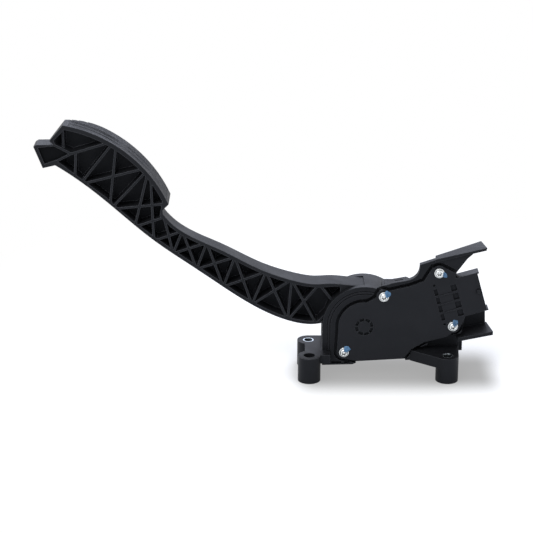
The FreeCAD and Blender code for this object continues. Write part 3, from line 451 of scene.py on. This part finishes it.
def painted_recess_light(tree, colour, reach, span, keep):
    """The colour times keep where the surface is closed in: below 1 it paints shade, above 1 it paints a
    paler fill light.
    """
    hollow = use_group(tree, recess, Reach=reach, Dark_At=span[0], Open_At=span[1])
    share = add(tree, "ShaderNodeMapRange", To_Min=keep)
    join(tree, hollow, "Open", share, "Value")
    made = tree.nodes.new("ShaderNodeMix")
    made.data_type = "RGBA"
    made.blend_type = "MULTIPLY"
    made.inputs[0].default_value = 1.0
    tree.links.new(colour, made.inputs[MIX_A])
    join(tree, share, "Result", made, MIX_B)
    return made.outputs[MIX_RESULT]


def set_gloss(tree, shader, tone, gloss, span=(0.0, 1.0)):
    """Roughness from low to high as the tone runs over its span."""
    rough = add(tree, "ShaderNodeMapRange", To_Min=gloss[0], To_Max=gloss[1],
                From_Min=span[0], From_Max=span[1])
    tree.links.new(tone, rough.inputs["Value"])
    join(tree, rough, "Result", shader, "Roughness")


def set_relief(tree, shader, height, strength, distance, normal=None):
    """Fine relief from a height, on top of the rounded normal where there is one."""
    bump = add(tree, "ShaderNodeBump", Strength=strength, Distance=distance)
    tree.links.new(height, bump.inputs["Height"])
    if normal is not None:
        tree.links.new(normal, bump.inputs["Normal"])
    join(tree, bump, "Normal", shader, "Normal")


print("finish helpers ready")

# %% Moulded finishes
SKY_TINT = (0.80, 0.87, 1.0, 1.0)


def moulded(name, dark, light, edge, gloss, grain_scale=2600.0, relief=0.00004, radius=0.0005,
            mirror=0.15, reach=0.003, span=(0.30, 0.85), keep=0.15):
    """Glass-filled or natural moulding: tone from dark to light, a painted highlight on the edges, painted
    shade in recesses, gloss as (low, high).
    """
    made, tree, shader = new_finish(name)
    shader.inputs["Specular IOR Level"].default_value = mirror
    shader.inputs["Specular Tint"].default_value = SKY_TINT
    spot = add(tree, "ShaderNodeTexCoord")
    skin = use_group(tree, grain, Grain_Scale=grain_scale)
    join(tree, spot, "Object", skin, "Vector")
    edges = use_group(tree, rounding, Radius=radius)
    body = mix_colours(tree, skin.outputs["Tone"], dark, light)
    # the edge colour is a painted highlight along every edge
    edge_highlight = mix_colours(tree, edges.outputs["Edge"], dark, edge)
    join(tree, body, MIX_RESULT, edge_highlight, MIX_A)
    # closed-in places get painted shade, and painted fill light where keep is over 1
    colour = painted_recess_light(tree, edge_highlight.outputs[MIX_RESULT], reach, span, keep)
    tree.links.new(colour, shader.inputs["Base Color"])
    set_gloss(tree, shader, skin.outputs["Tone"], gloss)
    set_relief(tree, shader, skin.outputs["Height"], strength=0.6, distance=relief,
               normal=edges.outputs["Normal"])
    return made


housing_black = moulded("housing_black", (0.0066, 0.0069, 0.0081, 1), (0.0100, 0.0104, 0.0121, 1),
                        (0.055, 0.057, 0.065, 1), (0.40, 0.52), radius=0.0006)
# the cover's window cells are darkened hard, as painted shade
cover_black = moulded("cover_black", (0.0098, 0.0102, 0.0119, 1), (0.0130, 0.0134, 0.0156, 1),
                      (0.055, 0.057, 0.065, 1), (0.36, 0.46), grain_scale=3400.0, relief=0.00003,
                      reach=0.004, span=(0.72, 0.97), keep=0.03)
# keep over 1 pales the arm's pockets, a painted fill light
arm_black = moulded("arm_black", (0.008, 0.0084, 0.0098, 1), (0.012, 0.0125, 0.0145, 1),
                    (0.085, 0.088, 0.100, 1), (0.42, 0.54), grain_scale=2200.0, radius=0.0007,
                    reach=0.006, keep=1.7)
natural_white = moulded("natural_moulding", (0.58, 0.56, 0.50, 1), (0.66, 0.65, 0.60, 1),
                        (0.72, 0.71, 0.67, 1), (0.35, 0.5), mirror=0.5)
rubber_black = moulded("stop_rubber", (0.012, 0.012, 0.012, 1), (0.020, 0.020, 0.020, 1),
                       (0.030, 0.030, 0.030, 1), (0.65, 0.8), grain_scale=1500.0)
chip_black = moulded("chip_package", (0.012, 0.012, 0.013, 1), (0.018, 0.018, 0.019, 1),
                     (0.030, 0.030, 0.030, 1), (0.5, 0.6), grain_scale=5000.0, radius=0.0001)
board_green = moulded("board_lacquer", (0.010, 0.085, 0.035, 1), (0.016, 0.115, 0.050, 1),
                      (0.20, 0.17, 0.09, 1), (0.25, 0.35), grain_scale=1800.0, radius=0.0001, mirror=0.5)
print("moulded finishes ready")

# %% [markdown]
# ## Metals and paint
# The screws and foot bushes are zinc plated, the springs are oiled wire, the bearing is porous bronze.
# One function builds them all from a colour, a gloss range and the direction of the tool marks. The narrow
# rims and the drive recesses are darkened with painted shade, and so is the inside of each bush.

# %% Metal finishes
def plated(name, dark, light, gloss, stretch=STREAK_ALONG_Z, relief=0.00001, radius=0.00025,
           reach=0.003, span=(0.50, 0.92), keep=0.06):
    """Bare or plated metal with streaks along the tool's way and cloudy tone, and painted shade in
    recesses.
    """
    made, tree, shader = new_finish(name)
    shader.inputs["Metallic"].default_value = 1.0
    spot = add(tree, "ShaderNodeTexCoord")
    marks = use_group(tree, streaks, Stretch=stretch)
    join(tree, spot, "Object", marks, "Vector")
    edges = use_group(tree, rounding, Radius=radius)
    body = mix_colours(tree, marks.outputs["Cloud"], dark, light)
    # narrow rims and recesses get painted shade
    colour = painted_recess_light(tree, body.outputs[MIX_RESULT], reach, span, keep)
    tree.links.new(colour, shader.inputs["Base Color"])
    set_gloss(tree, shader, marks.outputs["Streak"], gloss, span=(0.3, 0.7))
    set_relief(tree, shader, marks.outputs["Streak"], strength=0.5, distance=relief,
               normal=edges.outputs["Normal"])
    return made


# the drive recess is darkened, as painted shade
screw_zinc = plated("screw_zinc", (0.58, 0.61, 0.62, 1), (0.94, 0.96, 0.97, 1), (0.14, 0.34),
                    reach=0.0013, span=(0.50, 0.97))
# the inside of the bush is darkened deep, as painted shade
bush_zinc = plated("bush_zinc", (0.34, 0.39, 0.42, 1), (0.52, 0.57, 0.61, 1), (0.22, 0.36),
                   reach=0.008, span=(0.50, 0.95), keep=0.12)
pin_steel = plated("pin_steel", (0.48, 0.48, 0.50, 1), (0.60, 0.60, 0.62, 1), (0.18, 0.30),
                   stretch=(900.0, 9000.0, 900.0))
spring_wire = plated("spring_wire", (0.20, 0.20, 0.21, 1), (0.32, 0.32, 0.33, 1), (0.25, 0.42))
bronze = plated("bearing_bronze", (0.46, 0.30, 0.13, 1), (0.60, 0.42, 0.20, 1), (0.38, 0.55))
copper_foil = plated("target_copper", (0.62, 0.30, 0.16, 1), (0.74, 0.40, 0.24, 1), (0.25, 0.4))
tinned = plated("terminal_tin", (0.58, 0.58, 0.56, 1), (0.72, 0.72, 0.70, 1), (0.25, 0.38),
                stretch=(9000.0, 900.0, 900.0))
print("metal finishes ready")

# %% [markdown]
# Sealing paint is brushed on by hand: where it pools it is deep in colour, and where it is thin the
# metal makes it paler. The mesh of each dab carries its own depth as an attribute, which the material
# reads and breaks up with a little noise.

# %% Paint finish
def paint(name, deep, thin):
    """Sealing paint, deep in colour where the paint_depth attribute says that it pools."""
    made, tree, shader = new_finish(name)
    shader.inputs["Coat Weight"].default_value = 0.3
    spot = add(tree, "ShaderNodeTexCoord")
    pool = add(tree, "ShaderNodeTexNoise", Scale=700.0, Detail=3.0)
    join(tree, spot, "Object", pool, "Vector")
    depth = add(tree, "ShaderNodeAttribute")
    depth.attribute_name = "paint_depth"
    uneven = sums(tree, "SUBTRACT", pool.outputs["Fac"], depth.outputs["Fac"])
    spread = add(tree, "ShaderNodeMapRange", From_Min=-0.10, From_Max=0.55)
    tree.links.new(uneven, spread.inputs["Value"])
    body = mix_colours(tree, spread.outputs["Result"], deep, thin)
    join(tree, body, MIX_RESULT, shader, "Base Color")
    set_gloss(tree, shader, spread.outputs["Result"], (0.25, 0.45))
    set_relief(tree, shader, pool.outputs["Fac"], strength=0.5, distance=0.0001)
    return made


seal_blue = paint("seal_paint_blue", (0.010, 0.040, 0.090, 1), (0.060, 0.180, 0.350, 1))
print("paint finish ready")

# %% [markdown]
# ## Finishes on the CAD solids
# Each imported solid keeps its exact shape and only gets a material. A table from node to finish is easier
# to check than twenty separate lines, and the loop stops with a plain error if a name is wrong.

# %% Dress the nodes
FINISH = {
    "housing": housing_black,
    "sensor_cover": cover_black,
    "pedal_arm": arm_black,
    "spring_chamber_lid": housing_black,
    "pivot_pin": pin_steel,
    "pin_retainer": pin_steel,
    "pivot_bush_front": bronze,
    "pivot_bush_rear": bronze,
    "sensor_rotor": natural_white,
    "rotor_target": copper_foil,
    "circuit_board": board_green,
    "signal_chips": chip_black,
    "connector_pins": tinned,
    "cover_screws": screw_zinc,
    "foot_bush_front_left": bush_zinc,
    "foot_bush_rear_left": bush_zinc,
    "foot_bush_front_right": bush_zinc,
    "return_spring_outer": spring_wire,
    "return_spring_inner": spring_wire,
    "spring_seat": natural_white,
    "friction_shoe": natural_white,
    "rest_stop_buffer": rubber_black,
    "full_stop_buffer": rubber_black,
}
for name, finish in FINISH.items():
    mesh = nodes[name].data
    mesh.materials.clear()
    mesh.materials.append(finish)
print("dressed", len(FINISH), "of", len(nodes), "nodes")

# %% [markdown]
# ## Cover screws by Geometry Nodes
# Four identical screws hold the cover: a pan head with a pressed washer and a six-lobed drive. A head
# could be cut from a cylinder with booleans, but those leave ragged faces at the rounded crown. Here it
# is lathed from rings, from the washer's foot up to the crown and down into the drive, and a wave in
# the inner rings makes the lobes.

# %% One screw head
HEAD_R = 3.9 * MM
HEAD_H = 2.4 * MM
HEAD_STEPS = 48
LOBES = 6
# radius, depth towards the viewer, wave of the lobes
HEAD_RINGS = (
    (HEAD_R * 0.98, 0.0, 0.0),
    (HEAD_R, -0.15 * MM, 0.0),
    (HEAD_R, -0.65 * MM, 0.0),
    (HEAD_R * 0.96, -0.85 * MM, 0.0),
    (HEAD_R * 0.80, -0.95 * MM, 0.0),
    (HEAD_R * 0.77, -1.15 * MM, 0.0),
    (HEAD_R * 0.755, -1.75 * MM, 0.0),
    (HEAD_R * 0.70, -2.1 * MM, 0.0),
    (HEAD_R * 0.60, -HEAD_H, 0.0),
    (1.85 * MM, -HEAD_H, 0.05),
    (1.70 * MM, -HEAD_H + 0.15 * MM, 0.16),
    (1.60 * MM, -HEAD_H + 1.9 * MM, 0.16),
    (0.6 * MM, -HEAD_H + 2.1 * MM, 0.0),
)


def lobed_ring(radius, depth, lobe):
    """A ring about the Y axis; lobe waves the radius once for each lobe of the drive."""
    ring = []
    for step in range(HEAD_STEPS):
        turn = 2 * math.pi * step / HEAD_STEPS
        reach = radius * (1 + lobe * math.cos(LOBES * turn))
        ring.append((reach * math.cos(turn), depth, reach * math.sin(turn)))
    return ring


def bridge(bm, first, second):
    """Quads between two closed loops with as many points each."""
    for step in range(len(first)):
        ahead = (step + 1) % len(first)
        bm.faces.new((first[step], second[step], second[ahead], first[ahead]))


def finished_mesh(bm, name):
    """The mesh of what was built, with all faces turned outwards."""
    bmesh.ops.recalc_face_normals(bm, faces=bm.faces)
    mesh = bpy.data.meshes.new(name)
    bm.to_mesh(mesh)
    bm.free()
    return mesh


bm = bmesh.new()
loops = [[bm.verts.new(point) for point in lobed_ring(*ring)] for ring in HEAD_RINGS]
for first, second in zip(loops, loops[1:]):
    bridge(bm, first, second)
bm.faces.new(loops[-1])
head = linked("screw_head", finished_mesh(bm, "screw_head"))
print("screw head:", len(head.data.polygons), "faces")

# %% [markdown]
# Copying the head by hand would mean four copies to mend after each change. Instance on Points sets the
# one head on all four places instead. The tree turns each screw by a seeded random angle, because nobody
# stops them all at the same angle, and its result is kept as a plain mesh.

# %% Tree for the screws
screw_tree, entry, leave = new_group("screws_on_places", "GeometryNodeTree", (
    ("Geometry", "INPUT", "NodeSocketGeometry", None),
    ("Head", "INPUT", "NodeSocketObject", None),
    ("Turn Seed", "INPUT", "NodeSocketInt", 4),
    ("Finish", "INPUT", "NodeSocketMaterial", None),
    ("Geometry", "OUTPUT", "NodeSocketGeometry", None),
))
# A Random Value node has a set of sockets for each data type, and these are the places of its numbers
RANDOM_MAX, RANDOM_RESULT = 3, 1
source = add(screw_tree, "GeometryNodeObjectInfo")
join(screw_tree, entry, "Head", source, "Object")
chance = add(screw_tree, "FunctionNodeRandomValue")
chance.data_type = "FLOAT"
chance.inputs[RANDOM_MAX].default_value = 2 * math.pi / LOBES
join(screw_tree, entry, "Turn Seed", chance, "Seed")
about = add(screw_tree, "ShaderNodeCombineXYZ")
join(screw_tree, chance, RANDOM_RESULT, about, "Y")
spread = add(screw_tree, "GeometryNodeInstanceOnPoints")
join(screw_tree, entry, "Geometry", spread, "Points")
join(screw_tree, source, "Geometry", spread, "Instance")
join(screw_tree, about, "Vector", spread, "Rotation")


def realise(tree, entry, leave, grown_node, out_name):
    """The end of a tree: real geometry in the finish that the tree was given."""
    real = add(tree, "GeometryNodeRealizeInstances")
    join(tree, grown_node, out_name, real, "Geometry")
    dress = add(tree, "GeometryNodeSetMaterial")
    join(tree, real, "Geometry", dress, "Geometry")
    join(tree, entry, "Finish", dress, "Material")
    join(tree, dress, "Geometry", leave, "Geometry")


realise(screw_tree, entry, leave, spread, "Instances")
print("tree screws_on_places:", len(screw_tree.nodes), "nodes")

# %% Screws on their places
SCREW_PLACES = ((57.3, 65.7), (27.2, 19.5), (99.4, 85.2), (111.3, 41.3))
COVER_FACE = -7.4 * MM
SCREW_CREASE = 40


def grown(name, start_mesh, tree, values, body):
    """Runs a node tree on a start mesh, keeps the result as a plain mesh and rides it on a body."""
    seed = linked(name + "_start", start_mesh)
    modifier = seed.modifiers.new(name, "NODES")
    modifier.node_group = tree
    for item in tree.interface.items_tree:
        if item.item_type == "SOCKET" and item.in_out == "INPUT" and item.name in values:
            modifier[item.identifier] = values[item.name]
    bpy.context.view_layer.update()
    evaluated = seed.evaluated_get(bpy.context.evaluated_depsgraph_get())
    made_mesh = bpy.data.meshes.new_from_object(evaluated)
    made_mesh.name = name
    seed.modifiers.remove(modifier)
    bpy.data.objects.remove(seed)
    made = linked(name, made_mesh)
    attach(made, body)
    return made


def smooth(mesh, angle):
    """Smooth shading, with a crease where faces meet at more than the angle."""
    mesh.shade_smooth()
    mesh.set_sharp_from_angle(angle=math.radians(angle))


places = bpy.data.meshes.new("screw_places")
places.from_pydata([(x * MM, COVER_FACE, z * MM) for x, z in SCREW_PLACES], [], [])
screws = grown("cover_screw_heads", places, screw_tree,
               {"Head": head, "Turn Seed": 4, "Finish": screw_zinc}, "housing")
bpy.data.objects.remove(head)
smooth(screws.data, SCREW_CREASE)
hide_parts("cover_screws")
print("screws:", len(screws.data.polygons), "faces")

# %% [markdown]
# ## Paint marks on the screws
# After tightening, a dab of blue paint is brushed over the rim of each head, so that a turned screw
# shows. Wet paint lies on what is under it: the crown, the washer, then the cover. A squeezed sphere
# would look like a bead, so each dab is a small round grid laid over the profile of the head. It is
# thick in its middle, runs out to nothing at its rim, and has an outline of its own.

# %% Shape of a dab
# distance from the screw's axis and height over the cover in mm, a little outside the head itself
HEAD_PROFILE = (
    (0.0, 2.4), (2.3, 2.4), (2.8, 2.1), (3.0, 1.6), (3.15, 1.0),
    (3.75, 0.9), (4.0, 0.5), (4.4, 0.0), (20.0, 0.0),
)
PAINT_FILM = 0.45
PAINT_BED = 0.12
DAB_RINGS = 12
DAB_STEPS = 48


def head_height(distance):
    """Height of the head over the cover, at a distance from its axis."""
    for (near, high), (far, low) in zip(HEAD_PROFILE, HEAD_PROFILE[1:]):
        if distance <= far:
            return high + (low - high) * (distance - near) / (far - near)
    return 0.0


def dab_ring(bm, depth_layer, place, dab, share, film, bed):
    """One ring of a dab, at a share of its outline, with so much paint over the head or bed under it."""
    offset, half, lean, depth = dab
    loop = []
    for step in range(DAB_STEPS):
        bearing = 2 * math.pi * step / DAB_STEPS
        # two waves that start elsewhere on each dab give it a brushed outline
        wave = 1.0 + 0.07 * math.sin(3 * bearing + 5 * lean) + 0.05 * math.sin(5 * bearing + 9 * depth)
        along = half[0] * share * wave * math.cos(bearing)
        across = half[1] * share * wave * math.sin(bearing)
        x = offset[0] + along * math.cos(lean) + across * math.sin(lean)
        z = offset[1] - along * math.sin(lean) + across * math.cos(lean)
        lift = head_height(math.hypot(x, z)) + film * (1.0 - share ** 4) - bed
        vert = bm.verts.new(((place[0] + x) * MM, COVER_FACE - lift * MM, (place[1] + z) * MM))
        vert[depth_layer] = depth * (1.0 - 0.5 * share)
        loop.append(vert)
    return loop


def paint_dab(bm, depth_layer, place, dab):
    """One dab: an upper grid on the head's profile plus the film, and a bed just under the profile."""
    rims = []
    for film, bed in ((PAINT_FILM, 0.0), (0.0, PAINT_BED)):
        rings = [dab_ring(bm, depth_layer, place, dab, ring / DAB_RINGS, film, bed)
                 for ring in range(1, DAB_RINGS + 1)]
        for first, second in zip(rings, rings[1:]):
            bridge(bm, first, second)
        bm.faces.new(rings[0])
        rims.append(rings[-1])
    bridge(bm, *rims)


print("a dab has", DAB_RINGS, "rings of", DAB_STEPS, "points")

# %% Dabs on the screws
DAB_CREASE = 60
# offset (x, z) and half sizes in mm, lean in radians, depth of the colour
DABS = (
    ((2.9, 2.3), (2.7, 2.2), 0.95, 0.10),
    ((2.3, 2.8), (2.6, 2.3), 0.30, 0.05),
    ((4.3, -1.6), (1.6, 2.5), -0.45, 0.20),
    ((1.7, 3.0), (2.2, 2.4), 0.10, 0.40),
)
bm = bmesh.new()
depth_layer = bm.verts.layers.float.new("paint_depth")
for place, dab in zip(SCREW_PLACES, DABS):
    paint_dab(bm, depth_layer, place, dab)
dab_mesh = finished_mesh(bm, "screw_paint_dabs")
dab_mesh.materials.append(seal_blue)
smooth(dab_mesh, DAB_CREASE)
dabs = linked("screw_paint_dabs", dab_mesh)
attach(dabs, "housing")
print("paint dabs:", len(DABS), "with", len(dab_mesh.polygons), "faces")

# %% [markdown]
# ## Return springs from a rule
# A coil spring is a curve with a rule: the wire climbs slowly in the closed turn at each end and
# quickly in between. A node tree makes the curve, gives it that climb and sweeps a round wire along it.
# Drawing the coil point by point would give the same shape once, but no way to change its turns.

# %% Spring tree
SPIRAL_STEPS = 36
WIRE_SIDES = 12
spring_tree, entry, leave = new_group("closed_coil", "GeometryNodeTree", (
    ("Geometry", "INPUT", "NodeSocketGeometry", None),
    ("Coil Radius", "INPUT", "NodeSocketFloat", 0.0062),
    ("Wire Radius", "INPUT", "NodeSocketFloat", 0.0008),
    ("Height", "INPUT", "NodeSocketFloat", 0.025),
    ("Turns", "INPUT", "NodeSocketFloat", 6.0),
    ("Foot", "INPUT", "NodeSocketVector", (0.0, 0.0, 0.0)),
    ("Finish", "INPUT", "NodeSocketMaterial", None),
    ("Geometry", "OUTPUT", "NodeSocketGeometry", None),
))


def climb(tree, turn, start, stop, rise):
    """Height gained while the turn runs from start to stop."""
    made = tree.nodes.new("ShaderNodeMapRange")
    for name, value in (("Value", turn), ("From Min", start), ("From Max", stop), ("To Max", rise)):
        if isinstance(value, (int, float)):
            made.inputs[name].default_value = value
        else:
            tree.links.new(value, made.inputs[name])
    return made.outputs["Result"]


turns = entry.outputs["Turns"]
wire_radius = entry.outputs["Wire Radius"]
wire = sums(spring_tree, "MULTIPLY", wire_radius, 2.0)
# the two closed turns and the wire itself take three wire widths of the height
span = sums(spring_tree, "SUBTRACT", entry.outputs["Height"], sums(spring_tree, "MULTIPLY", wire, 3.0))
spiral = add(spring_tree, "GeometryNodeCurveSpiral", Resolution=SPIRAL_STEPS, Height=0.0)
join(spring_tree, entry, "Turns", spiral, "Rotations")
join(spring_tree, entry, "Coil Radius", spiral, "Start Radius")
join(spring_tree, entry, "Coil Radius", spiral, "End Radius")
along = add(spring_tree, "GeometryNodeSplineParameter")
turn = sums(spring_tree, "MULTIPLY", along.outputs["Factor"], turns)
last = sums(spring_tree, "SUBTRACT", turns, 1.0)
rise = climb(spring_tree, turn, 0.0, 1.0, wire)
rise = sums(spring_tree, "ADD", rise, climb(spring_tree, turn, 1.0, last, span))
rise = sums(spring_tree, "ADD", rise, climb(spring_tree, turn, last, turns, wire))
rise = sums(spring_tree, "ADD", rise, wire_radius)
lift = add(spring_tree, "ShaderNodeCombineXYZ")
spring_tree.links.new(rise, lift.inputs["Z"])
stand = add(spring_tree, "ShaderNodeVectorMath", "ADD")
join(spring_tree, lift, "Vector", stand, 0)
join(spring_tree, entry, "Foot", stand, 1)
shift = add(spring_tree, "GeometryNodeSetPosition")
join(spring_tree, spiral, "Curve", shift, "Geometry")
join(spring_tree, stand, "Vector", shift, "Offset")
section = add(spring_tree, "GeometryNodeCurvePrimitiveCircle", Resolution=WIRE_SIDES)
join(spring_tree, entry, "Wire Radius", section, "Radius")
sweep_wire = add(spring_tree, "GeometryNodeCurveToMesh", Fill_Caps=True)
join(spring_tree, shift, "Geometry", sweep_wire, "Curve")
join(spring_tree, section, "Curve", sweep_wire, "Profile Curve")
realise(spring_tree, entry, leave, sweep_wire, "Mesh")
print("tree closed_coil:", len(spring_tree.nodes), "nodes")

# %% [markdown]
# Two coils stand inside each other, so that the pedal still returns if one breaks. Each takes its height
# from the imported solid that it replaces. Both are pressed shorter when the heel rises.

# %% Two springs
SPRING_AXIS = (79.0, 8.75)
# node, radius of the coil and of the wire in mm, turns
SPRINGS = (
    ("return_spring_outer", 6.2, 0.75, 5.5),
    ("return_spring_inner", 3.9, 0.5, 7.0),
)
for node_name, coil_r, wire_r, turn_count in SPRINGS:
    low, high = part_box(node_name)
    foot = Vector((SPRING_AXIS[0] * MM, SPRING_AXIS[1] * MM, low.z))
    empty = bpy.data.meshes.new(node_name + "_start")
    coil = grown(node_name + "_coil", empty, spring_tree, {
        "Coil Radius": coil_r * MM, "Wire Radius": wire_r * MM, "Height": high.z - low.z,
        "Turns": turn_count, "Foot": foot, "Finish": spring_wire}, "housing")
    coil.data.shade_smooth()
    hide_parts(node_name)
    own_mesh(coil)
    print(coil.name, len(coil.data.polygons), "faces")

# %% [markdown]
# ## Rolled foot bushes
# The bolts would crush the plastic feet, so each foot holds a steel bush that is rolled from strip. Such
# a bush has a fine seam and rounded rims. A plain tube would have neither. It is swept from a small
# section round almost a full turn, which leaves the seam open, as the roller does.

# %% Bushes
BUSH_WALL = 1.2 * MM
BUSH_EDGE = 0.35 * MM
BUSH_NIP = BUSH_EDGE * 0.3
BUSH_STEPS = 64
BUSH_CREASE = 35
SEAM_TURN = math.radians(4.0)
# where the seam lies, in radians round the bush
SEAMS = {"foot_bush_front_left": 1.2, "foot_bush_rear_left": 2.2, "foot_bush_front_right": 0.6}


def rolled_bush(node_name, seam_at):
    """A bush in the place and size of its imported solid, with an open seam and rounded upper rims."""
    low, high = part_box(node_name)
    middle = (low + high) / 2
    outer = (high.x - low.x) / 2
    inner = outer - BUSH_WALL
    section = (
        (outer, low.z + BUSH_EDGE), (outer, high.z - BUSH_EDGE), (outer - BUSH_NIP, high.z - BUSH_NIP),
        (outer - BUSH_EDGE, high.z), (inner + BUSH_EDGE, high.z), (inner + BUSH_NIP, high.z - BUSH_NIP),
        (inner, high.z - BUSH_EDGE), (inner, low.z + BUSH_EDGE),
        (inner + BUSH_EDGE, low.z), (outer - BUSH_EDGE, low.z),
    )
    bm = bmesh.new()
    loops = []
    for step in range(BUSH_STEPS + 1):
        turn = seam_at + SEAM_TURN / 2 + (2 * math.pi - SEAM_TURN) * step / BUSH_STEPS
        way = (math.cos(turn), math.sin(turn))
        loops.append([bm.verts.new((middle.x + r * way[0], middle.y + r * way[1], z)) for r, z in section])
    for first, second in zip(loops, loops[1:]):
        bridge(bm, first, second)
    bm.faces.new(loops[0])
    bm.faces.new(loops[-1])
    mesh = finished_mesh(bm, node_name + "_rolled")
    mesh.materials.append(bush_zinc)
    smooth(mesh, BUSH_CREASE)
    made = linked(node_name + "_rolled", mesh)
    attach(made, "housing")
    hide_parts(node_name)
    return made


for node_name, seam_at in SEAMS.items():
    print(rolled_bush(node_name, seam_at).name)

# %% [markdown]
# ## Floor of the stop lug
# The small lug at the pad's tip is a shallow tray. Behind it the moulding steps back, because the pad
# narrows towards its tip. A thin skin closes the tray at one depth, so that the step does not show from the
# front. It is nearly black, a painted shade over the whole pocket. It is a four-cornered plate with its
# edges inside the ribs that frame the tray.

# %% Lug tray
LUG_TRAY = ((-200.9, 169.3), (-205.7, 183.4), (-193.0, 185.3), (-180.4, 178.3))
LUG_FRONT, LUG_BACK = 1.4 * MM, 1.9 * MM
# the skin's near-black colour is painted shade, darker than the arm's own plastic
tray_painted_shade = moulded("lug_tray_painted_shade", (0.0016, 0.0017, 0.0020, 1), (0.0030, 0.0031, 0.0036, 1),
                     (0.010, 0.010, 0.012, 1), (0.45, 0.58), grain_scale=2200.0, mirror=0.08)
bm = bmesh.new()
front, back = [[bm.verts.new((x * MM, y, z * MM)) for x, z in LUG_TRAY] for y in (LUG_FRONT, LUG_BACK)]
bm.faces.new(front)
bm.faces.new(back)
bridge(bm, front, back)
tray_mesh = finished_mesh(bm, "lug_tray_floor")
tray_mesh.materials.append(tray_painted_shade)
tray = linked("lug_tray_floor", tray_mesh)
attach(tray, "pedal")
print("lug tray:", len(tray_mesh.polygons), "faces")
